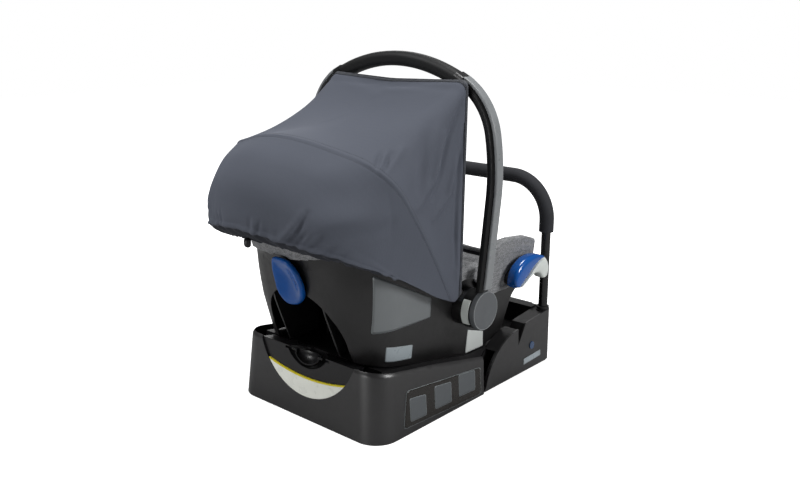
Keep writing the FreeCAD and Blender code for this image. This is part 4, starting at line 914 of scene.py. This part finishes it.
def folded(grid, place):
    """How far the folds lift each point of the hood; those of the left side are a little out of step."""
    columns = grid.shape[1]
    height = np.zeros(grid.shape[:2])
    for left in (False, True):
        for n, (line, width, right_rise, left_rise) in enumerate(HOOD_FOLDS):
            shift = 0.025 * math.sin(7.0 * n + 2.0) if left else 0.0
            spots = []
            for up, at in line:
                column = int(round((up + shift) * (columns // 2)))
                spots.append(grid[np.abs(place - at).argmin(), columns - 1 - column if left else column])
            lengths = [np.linalg.norm(b - a) for a, b in zip(spots, spots[1:])]
            far, reached = np.full(grid.shape[:2], 1e9), np.zeros(grid.shape[:2])
            gone = 0.0
            for a, b, run in zip(spots, spots[1:], lengths):
                t = np.clip(((grid - a) @ (b - a)) / run ** 2, 0, 1)
                gap = np.linalg.norm(grid - a - t[..., None] * (b - a), axis=2)
                reached = np.where(gap < far, (gone + t * run) / sum(lengths), reached)
                far = np.minimum(far, gap)
                gone += run
            fade = np.sin(np.pi * np.clip(0.06 + 0.88 * reached, 0, 1)) ** 0.6
            height += (left_rise if left else right_rise) * MM * np.exp(-(far / (width * MM)) ** 2) * fade
    return height


def gathered(grid, place):
    """How far the hem's elastic puckers the cloth: in the band turned under, just before it, and at the turn."""
    run = np.cumsum(np.concatenate([[0], np.linalg.norm(np.diff(grid[-1], axis=0), axis=1)]))
    past = (place - HEM_TURN)[:, None]
    slant = run[None] + past * 0.10
    under = np.clip(past / 0.03, 0, 1)
    band = np.sin(slant / 0.0031 + 1.9 * np.sin(slant / 0.017)) + 0.8 * np.sin(slant / 0.0067 + 2.0)
    before = np.exp(-np.clip(-past, 0, 1) / 0.05) * (1 - under) * np.sin(run / 0.0052 + 1.5 * np.sin(run / 0.023))
    return (PUCKER * (under * band + before) + TURN_RISE * np.exp(-(past / 0.012) ** 2)) * MM


def ridged(grid, share):
    """The welt where the bow pushes the cloth out, and the dip behind it, fading at the feet."""
    rows = (np.arange(len(grid)) - (FRONT_ROWS - 1))[:, None]
    welt = 0.5 * np.exp(-(rows / 0.8) ** 2) - 0.35 * np.exp(-((rows - 1.8) / 0.8) ** 2)
    return welt * MM * np.clip(share * 12, 0, 1)


def hood_grid():
    """The hood's outer face as a grid: rows from front edge to hem, columns from right foot to left foot."""
    lines = [arch_line(arch) for arch in HOOD_ARCHES]
    grid = np.vstack([through(lines[:RIDGE + 1], FRONT_ROWS), through(lines[RIDGE:], REAR_ROWS)[1:]])
    place = np.concatenate([np.linspace(0, 1, FRONT_ROWS), 1 + np.linspace(0, 1, REAR_ROWS)[1:]])
    share = 1 - np.abs(np.linspace(-1, 1, grid.shape[1]))
    height = folded(grid, place) + gathered(grid, place) + ridged(grid, share)
    height *= sizes().fold_depth * np.clip(place / 0.04, 0, 1)[:, None]
    grid = grid + normals_of(grid, grid - grid.mean(axis=(0, 1))) * height[..., None]
    # the left side is a little slimmer than the right, most of all at the front edge
    narrow = 1 - np.interp(place, (0, 1, 2), LEFT_WIDTH)
    slim = 1 - narrow[:, None] * np.clip(share / 0.45, 0, 1)
    grid[..., 0] = np.where(grid[..., 0] < 0, grid[..., 0] * slim, grid[..., 0])
    return grid, place


# ---------- operators ----------
class CARSEAT_OT_stage(bpy.types.Operator):
    """White floor and sky, soft lamps, and the camera"""
    bl_idname = "carseat.stage"
    bl_label = "Stage, lights and camera"

    def execute(self, context):
        scene = context.scene
        scene.view_settings.view_transform = "Standard"
        world = bpy.data.worlds.new("Studio")
        scene.world = world
        world.use_nodes = True
        tree = world.node_tree
        paths = add(tree, "ShaderNodeLightPath", {}, "Is Camera Ray")
        shine = add(tree, "ShaderNodeLightPath", {}, "Is Transmission Ray")
        seen = add(tree, MATH, {0: paths, 1: shine}, operation="MAXIMUM")
        level = add(tree, RANGE, {"Value": seen, "To Min": 0.13, "To Max": 1.0}, "Result")
        tree.links.new(level, tree.nodes["Background"].inputs["Strength"])
        tree.nodes["Background"].inputs["Color"].default_value = (1.0, 1.0, 1.0, 1.0)

        material = bpy.data.materials.new("Studio_floor")
        material.use_nodes = True
        tree = material.node_tree
        tree.nodes.clear()
        where = add(tree, COORDS, {}, "Object")
        cloud = add(tree, NOISE, {"Vector": where, "Scale": 3.0}, "Fac")
        tone = add(tree, MIX, {0: cloud, 6: rgba((0.78,) * 3), 7: rgba((0.82,) * 3)}, 2, data_type="RGBA")
        seen = add(tree, "ShaderNodeLightPath", {}, "Is Camera Ray")
        dull = add(tree, MIX, {0: seen, 6: rgba((0.42,) * 3), 7: tone}, 2, data_type="RGBA")
        matt = add(tree, "ShaderNodeBsdfDiffuse", {"Color": dull})
        away = add(tree, "ShaderNodeVectorMath", {0: where}, "Value", operation="LENGTH")
        far = add(tree, RANGE, {"Value": away, "From Min": 0.45, "From Max": 0.95, "To Min": 0.78,
                                "To Max": 1.0}, "Result", interpolation_type="SMOOTHSTEP")
        lift = add(tree, MATH, {0: seen, 1: far}, operation="MULTIPLY")
        glow = add(tree, "ShaderNodeEmission", {"Strength": lift})
        both = add(tree, "ShaderNodeAddShader", {0: matt, 1: glow})
        tree.links.new(both, tree.nodes.new("ShaderNodeOutputMaterial").inputs["Surface"])
        corners = [(x, y, -0.5 * MM) for x, y in ((-6, -6), (6, -6), (6, 6), (-6, 6))]
        paint(shaded("floor", corners, [(0, 1, 2, 3)]), material)

        for name, kind, place, aim, size, power in (
                ("Key", "AREA", (-0.9, -1.4, 2.4), (0, -0.1, 0.3), 0.7, 36.0),
                ("Fill", "AREA", (2.2, 0.4, 1.2), (0, 0, 0.3), 0.7, 34.0),
                ("Top", "AREA", (0.2, 0.5, 2.6), (0, 0, 0.2), 0.8, 32.0),
                ("Low", "AREA", (-0.15, -2.2, 0.22), (0, -0.2, 0.12), 0.5, 8.0),
                ("Rim", "AREA", (-1.6, 1.5, 1.2), (0, 0, 0.3), 1.0, 12.0)):
            lamp = bpy.data.lights.new(name, kind)
            lamp.energy, lamp.size = power, size
            held = bpy.data.objects.new(name, lamp)
            held.location = place
            held.rotation_euler = (Vector(aim) - Vector(place)).to_track_quat("-Z", "Y").to_euler()
            scene.collection.objects.link(held)

        lens = bpy.data.cameras.new("Camera")
        lens.lens, lens.sensor_width = 39.23, 36.0
        lens.clip_start, lens.clip_end = 0.05, 50.0
        camera = bpy.data.objects.new("Camera", lens)
        camera.location = (1.102, -1.246, 0.731)
        camera.rotation_euler = (math.radians(74.3), 0.0, math.radians(41.6))
        scene.collection.objects.link(camera)
        scene.camera = camera
        return {"FINISHED"}


class CARSEAT_OT_mouldings(bpy.types.Operator):
    """Finishes of the hard pieces: covers, shell, handle, hooks, tube, foam and rubber"""
    bl_idname = "carseat.mouldings"
    bl_label = "Mouldings and metal"

    def execute(self, context):
        c = colours()
        shell = moulded("Polypropylene_shell", c.shell_black, 0.4, level=0.65)
        for material, nodes in (
                (moulded("Polypropylene_base_covers", c.base_black, 0.4, level=1.0),
                 "base_skirt tower_panel_right tower_panel_left foot_panel base_floor"),
                (moulded("Polypropylene_base_tub", c.base_black, 0.55, 1.4), "base_chassis bar_collars"),
                (moulded("ABS_fascia", c.base_black, 0.36), "base_fascia release_paddle"),
                (glossy("Acrylic_crescent", c.crescent, 0.3), "base_crescent"),
                (glossy("Acrylic_line", c.line_yellow, 0.3), "base_crescent_line"),
                (glossy("Polycarbonate_window", linear("1D3F66"), 0.08, 0.6),
                 "level_window_right level_window_left"),
                (foam("Rubber_pads", c.foam, 1.0, 0.7), "grip_pads"),
                (glossy("Powder_coat_bar", c.bar, 0.22), "rebound_bar canopy_bow"),
                (foam("EVA_foam_sleeve", c.foam), "rebound_foam"),
                (shell, "bow_sockets"),
                (moulded("Nylon_handle", c.handle_black, 0.4, 0.9),
                 "handle_core canopy_clip_right canopy_clip_left"),
                # the trim's colour carries a painted reflection along the strip
                (glossy("ABS_handle_trim", c.handle_trim, 0.3), "handle_trim_right handle_trim_left"),
                (foam("TPE_grip", c.handle_black, 1.3, 0.6), "handle_grip"),
                (moulded("ABS_hub_cap", c.cap_grey, 0.5, 0.8, 0.03), "hub_cap_right hub_cap_left"),
                (glossy("Acetal_buttons", c.button_grey, 0.35), "handle_button_right handle_button_left"),
                (bright_metal("Zinc_plated_steel", linear("B9BCC0"), 0.3),
                 "hub_pins latch_bars buckle_tongues"),
                (glossy("ABS_polished_black", c.base_black, 0.25),
                 "buckle_body adjuster_housing adjuster_lever"),
                (glossy("ABS_red_button", c.red, 0.28), "buckle_button")):
            for node in nodes.split():
                paint(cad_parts[node], material)

        for node, name, slot in (("carrier_shell", "shell", "shell_black"),
                                 ("rear_hook_stem", "hook_stem", "inner_black")):
            piece = drawn_in(divided(cad_copy(node, name), 0.014, 0.10))
            held_by("carrier", paint(crease_edges(piece), shell), node)
            if name == "shell":
                raised_rim(piece)
                pale = tuple(v * 1.6 for v in c.lining)
                lined(piece, melange("Melange_jersey_lining", pale, c.melange_dark))
        for node, name, slot in (
                ("base_skirt", "base_end_skirt", "shell_black"),
                ("base_fascia", "base_end_fascia", "fascia_grey"),
                ("base_crescent", "base_end_crescent", "crescent_white"),
                ("base_crescent_line", "base_end_crescent_line", "line_yellow"),
                ("base_floor", "base_end_floor", "panel_black"),
                ("base_chassis", "base_end_chassis", "inner_black"),
                ("release_paddle", "paddle_lever", "panel_black")):
            piece, body = drawn_out(divided(cad_copy(node, name), 0.016, 0.09)), "base"
            if name == "paddle_lever":
                slimmed(piece)
                body = "paddle"
            held_by(body, crease_edges(piece), node)
        leaf = paint(drawn_leaf("hook_leaf"), glossy("ABS_polished_blue", c.hook_blue, 0.14, 0.1, 0.25))
        held_by("carrier", leaf, "rear_hook")
        return {"FINISHED"}


class CARSEAT_OT_hood(bpy.types.Operator):
    """The stretched sun hood with its bound front edge, bow casing, gathered hem and stitches"""
    bl_idname = "carseat.hood"
    bl_label = "Sun hood"

    def execute(self, context):
        size, c = sizes(), colours()
        grid, place = hood_grid()
        outward = grid - grid.mean(axis=(0, 1))
        hood = sheet_shell("hood", grid, size.hood_cloth, outward)
        # the second material goes on the band turned under at the hem: a darker jersey as painted shade where the
        # band faces down
        paint(hood, jersey("Jersey_knit_hood", c.hood), jersey("Jersey_knit_hem", c.hem))
        columns, painted_shade_row = grid.shape[1], int((place < HEM_TURN + 0.012).sum())
        for face in hood.data.polygons:
            if min(face.vertices) % grid[..., 0].size // columns >= painted_shade_row:
                face.material_index = 1

        normal = normals_of(grid, outward)
        inward = grid[2] - grid[0]
        inward /= np.linalg.norm(inward, axis=1, keepdims=True)
        w, t = size.binding, size.hood_cloth
        loop = [(w, 0.0008), (0, 0.0008), (-0.001, 0.0003), (-0.0013, -t / 2), (-0.001, -t - 0.0003),
                (0, -t - 0.0008), (w, -t - 0.0008), (w, -t - 0.0001), (0.0002, -t - 0.0001), (0.0002, 0.0001),
                (w, 0.0001)]
        binding = swept("hood_binding", grid[0], inward, normal[0], loop)
        paint(binding, woven("Woven_binding_tape", c.binding, 1.4))

        ridge = FRONT_ROWS - 1
        rows = [grid[0] + inward * (w - 0.0016) + normal[0] * 0.0009]
        rows += [grid[r] + normal[r] * 0.0002 for r in (ridge - 2, ridge + 2, len(grid) - 4)]
        darker = tuple(x * 0.75 for x in c.hood)
        threads = stitched("hood_stitches", rows, woven("Polyester_thread_hood", darker, 0.8))
        for piece in (hood, binding, threads):
            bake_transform(piece)
        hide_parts("canopy")
        return {"FINISHED"}


class CARSEAT_OT_cover(bpy.types.Operator):
    """The quilted cover rolled over the carrier's rim, with its seams and hem stitches"""
    bl_idname = "carseat.cover"
    bl_label = "Seat cover"

    def execute(self, context):
        c = colours()
        cover = cad_copy("seat_cover", "cover")
        co = points_of(cover)
        top, low, hem = (np.interp(co[:, 1], *(np.array(v) * MM for v in zip(*edge)))
                         for edge in (COVER_TOP, COVER_LOW, COVER_HEM))
        up = (co[:, 2] - low) / (top - low)
        co[:, 2] = np.where(hem > low, hem + up * (top - hem), co[:, 2])
        draw_up = np.clip((co[:, 0] - 0.045) / 0.08, 0, 1) * np.clip((-0.24 - co[:, 1]) / 0.03, 0, 1)
        co[:, 2] += draw_up * 0.013 * np.clip(1.3 - 1.3 * up, 0, 1)
        put_points(cover, co)
        flank = surface_of(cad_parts["seat_cover"])
        for side in (1, -1):
            joined(cover, sheet_shell("cover_patch", patch_grid(flank, side), 0.0036, (side, 0.0, 0.0)))
        drawn_in(remeshed(cover, 0.0022))
        rumpled(cover, 0.0013, 26, 3.0)
        rumpled(cover, 0.0006, 9, 11.0)
        flank = surface_of(cover)
        seams = []
        for side in (1, -1):
            for drop in (0.013, 0.030):
                tops = cast(flank, [(side * 0.183, y, 0.5) for y in np.linspace(-0.31, 0.215, 90)], DOWN)
                starts = [(side * 0.3, spot.y, spot.z - drop) for spot in tops]
                line = cast(flank, starts, (-side, 0, 0), 0.0002)
                seams.append([p for p in line if abs(p.x) > 0.17])
        sewn(cover, seams[0::2], 0.0016, 0.0022)
        paint(cover, melange("Melange_jersey_cover", c.melange_light, c.melange_dark))
        thread = woven("Polyester_thread_cover", c.melange_dark, 0.8)
        stitches = stitched("cover_stitches", [s for s in seams[1::2] if len(s) > 2], thread)
        held_by("carrier", cover, "seat_cover")
        held_by("carrier", stitches)
        return {"FINISHED"}


class CARSEAT_OT_padding(bpy.types.Operator):
    """The stuffed seat pad, head hugger and shoulder pads, with their sewn channels"""
    bl_idname = "carseat.padding"
    bl_label = "Padding"

    def execute(self, context):
        size, c = sizes(), colours()
        knit = melange("Melange_jersey_padding", c.melange_light, c.melange_dark, 1.7)
        lining = foam("Brushed_knit_lining", c.lining, 1.2, 0.9)
        thread = woven("Polyester_thread_padding", c.melange_dark, 0.8)

        pad = drawn_in(stuffed(cad_copy("seat_pad", "pad"), 0.005, size.puff, 0.002))
        top = surface_of(pad)
        rows = [cast(top, [(x, y, 0.6) for x in np.linspace(-0.125, 0.125, 26)], DOWN)
                for y in np.arange(-0.285, 0.20, 0.047)]
        edges = [cast(top, [(x, y, 0.6) for y in np.linspace(-0.315, 0.205, 60)], DOWN)
                 for x in (0.128, -0.128)]
        sewn(pad, rows + edges, 0.0034, 0.0055)
        rumpled(pad, 0.0007, 24, 5.0)
        settled = surface_of(pad)
        quilting = [cast(settled, [(p.x, p.y, 0.6) for p in line], DOWN, 0.0002) for line in rows + edges]

        hugger = drawn_in(stuffed(cad_copy("head_hugger", "hugger"), 0.004, 0.006, 0.003))
        crown = surface_of(hugger)
        lo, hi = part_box("head_hugger")
        spokes = []
        for angle in np.radians(np.arange(-10, 191, 25)):
            reach = np.linspace(0.03, 0.12, 24)
            spokes.append(cast(crown, [(r * math.cos(angle), hi.y - 0.066 - r * math.sin(angle) * 0.9, 0.6)
                                       for r in reach], DOWN))
        sewn(hugger, [s for s in spokes if len(s) > 2], 0.0022, 0.004)
        rumpled(hugger, 0.0006, 18, 7.0)

        pads = []
        for name in ("right", "left"):
            node = "shoulder_pad_" + name
            piece = stuffed(cad_copy(node, "strap_pad_" + name), 0.003, 0.003, 0.001)
            line, width = strap_run(node, np.linspace(-0.152, -0.074, 20))
            over = surface_of(piece)
            hems = [cast(over, [(p[0] + reach, p[1], 0.6) for p in line], DOWN)
                    for reach in (-width * 0.36, width * 0.36)]
            sewn(piece, hems, 0.0012, 0.002)
            pads.append((piece, node, hems))
        edging = [cast(surface_of(piece), [(p.x, p.y, 0.6) for p in hem], DOWN, 0.0002)
                  for piece, node, hems in pads for hem in hems]
        stitches = stitched("padding_stitches", [q for q in quilting + edging if len(q) > 2], thread)

        for piece, node, material, slot in ((pad, "seat_pad", knit, "melange_grey"),
                                            (hugger, "head_hugger", knit, "melange_grey"),
                                            *((p, n, lining, "shoulder_fabric") for p, n, _ in pads)):
            held_by("carrier", paint(piece, material), node)
        held_by("carrier", stitches)
        return {"FINISHED"}


class CARSEAT_OT_harness(bpy.types.Operator):
    """Harness and crotch webbing"""
    bl_idname = "carseat.harness"
    bl_label = "Harness"

    def execute(self, context):
        weave = woven("Woven_polyester_webbing", colours().webbing)
        for name, node, cuts in (("strap_right", "harness_strap_right", 40),
                                 ("strap_left", "harness_strap_left", 40),
                                 ("strap_crotch", "crotch_strap", 12)):
            lo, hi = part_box(node)
            line, width = strap_run(node, np.linspace(lo.y + 0.0004, hi.y - 0.0004, cuts))
            held_by("carrier", webbing(name, line, width, sizes().webbing, weave), node)
        return {"FINISHED"}


class CARSEAT_OT_hooks(bpy.types.Operator):
    """The curled lap-belt hooks in two colours, on their black roots"""
    bl_idname = "carseat.hooks"
    bl_label = "Belt hooks"

    def execute(self, context):
        c = colours()
        blue = glossy("ABS_lap_hook_blue", c.hook_blue, 0.18, 0.25)
        pale = moulded("Acetal_hook_tip", c.button_grey, 0.4, 0.9, 0.02)
        black = moulded("Polypropylene_hook_root", c.shell_black, 0.45)
        for label, back, front, low, high, material, slot, node in (
                ("hook", HOOK_BACK, HOOK_JOINT, 192, 218, blue, "hook_blue", "lap_hook_"),
                ("hook_tip", HOOK_CURL, HOOK_INSIDE, 193, 217.2, pale, "hook_tip", "lap_hook_tip_"),
                ("hook_root", ROOT_TOP, ROOT_LOW, 172, 194, black, "inner_black", "lap_hook_plate_")):
            right = pebble(label + "_right", back, front, low, high)
            for piece, side in ((right, "right"), (mirrored_copy(right, label + "_left"), "left")):
                held_by("carrier", paint(piece, material), node + side)
        return {"FINISHED"}


class CARSEAT_OT_trims(bpy.types.Operator):
    """Bare label places, rings round the hub caps, and the toggle of the hood's draw cord"""
    bl_idname = "carseat.trims"
    bl_label = "Labels and small trims"

    def execute(self, context):
        c = colours()
        dark = film("Label_film_dark", c.label_dark, 0.28)
        grey = film("Label_film_grey", linear("6E7274"), 0.35)
        paper = film("Label_paper", c.label_pale, 0.5)
        picture = film("Label_film_picture", linear("54585B"), 0.35)
        silver = film("Label_film_silver", linear("9AA3A8"), 0.3)
        border = film("Label_border", linear("7E8486"), 0.4)
        skirt, shell, tower = (surface_of(bpy.data.objects[name])
                               for name in ("base_end_skirt", "shell", "tower_panel_right"))
        # corners as (y, z) in mm, from the lower one at the head end; then their radius and the film's lift
        places = [
            ("label_skirt", skirt, ((-206, 14), (20, 4), (20, 60), (-193, 82)), dark, "base", 7, 0.8),
            ("label_tower", tower, ((166, 18), (229, 21), (227, 34), (166, 31)), silver, "base", 2, 0.8),
            ("label_shell", shell, ((-234, 188), (-104, 190), (-108, 229), (-237, 296)), grey, "carrier", 4,
             0.8),
            ("label_silver", shell, ((-207, 130), (-143, 119), (-144, 147), (-208, 159)), silver, "carrier", 2,
             0.8),
            ("label_paper", shell, ((20, 77), (77, 77), (69, 112), (16, 130)), paper, "carrier", 2, 0.8)]
        for n, (low, high) in enumerate(((-187, -143), (-119, -71), (-49, 1))):
            corners = ((low, 22), (high, 20), (high, 60), (low, 66))
            places.append(("picture_%d" % n, skirt, corners, picture, "base", 4, 1.3))
        for name, tree, corners, material, body, radius, lift in places:
            corners = [(260, y, z) for y, z in corners]
            edge = name.replace("picture", "picture_edge") if material is picture else name + "_edge"
            for label, film_of, height, inset in ((edge, border, lift - 0.2, 0.0), (name, material, lift, 0.9)):
                plate = laid_plate(label, tree, corners, film_of, height * MM, inset * MM, radius * MM)
                held_by(body, plate)

        back, front = ((-385, 364), (-386, 355), (-384, 347)), ((-375, 364), (-374, 355), (-376, 347))
        lock = pebble("cord_lock", back, front, -7, 4, 2.4, 24, 24)
        held_by("carrier", paint(lock, moulded("Acetal_cord_lock", c.base_black, 0.4)))

        # the rims take the handle trim's colour, which is partly a painted reflection
        rim = moulded("ABS_hub_rim", c.handle_trim, 0.4, 0.9, 0.02)
        for side, name in ((1, "right"), (-1, "left")):
            lo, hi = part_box("hub_cap_" + name)
            middle, radius = (lo + hi) / 2, (hi.z - lo.z) / 2
            turns = np.linspace(0, 2 * np.pi, 96, endpoint=False)
            face = hi.x if side > 0 else lo.x
            path = [(face - side * 0.0006, middle.y + (radius - 0.0014) * math.cos(t),
                     middle.z + (radius - 0.0014) * math.sin(t)) for t in turns]
            held_by("handle", paint(ring("hub_rim_" + name, path, 0.0009), rim))
        return {"FINISHED"}


CLASSES = (SeatSizes, SeatColours, CARSEAT_OT_stage, CARSEAT_OT_mouldings, CARSEAT_OT_hood, CARSEAT_OT_cover,
           CARSEAT_OT_padding, CARSEAT_OT_harness, CARSEAT_OT_hooks, CARSEAT_OT_trims)
STEPS = [cls.bl_idname for cls in CLASSES if issubclass(cls, bpy.types.Operator)]


class CARSEAT_PT_build(bpy.types.Panel):
    """Lists the builders of the car seat's pieces, its sizes and its colours"""
    bl_label = "Infant Car Seat"
    bl_idname = "CARSEAT_PT_build"
    bl_space_type = "VIEW_3D"
    bl_region_type = "UI"
    bl_category = "Car Seat"

    def draw(self, context):
        for step in STEPS:
            self.layout.operator(step)
        for group in (context.scene.seat_sizes, context.scene.seat_colours):
            box = self.layout.box()
            for name in group.bl_rna.properties.keys():
                if name not in ("rna_type", "name"):
                    box.prop(group, name)


def register():
    for cls in CLASSES + (CARSEAT_PT_build,):
        bpy.utils.register_class(cls)
    bpy.types.Scene.seat_sizes = bpy.props.PointerProperty(type=SeatSizes)
    bpy.types.Scene.seat_colours = bpy.props.PointerProperty(type=SeatColours)


def unregister():
    del bpy.types.Scene.seat_colours
    del bpy.types.Scene.seat_sizes
    for cls in (CARSEAT_PT_build,) + CLASSES[::-1]:
        bpy.utils.unregister_class(cls)


def main():
    register()
    for step in STEPS:
        family, name = step.split(".")
        getattr(getattr(bpy.ops, family), name)()


if __name__ == "__main__":
    main()
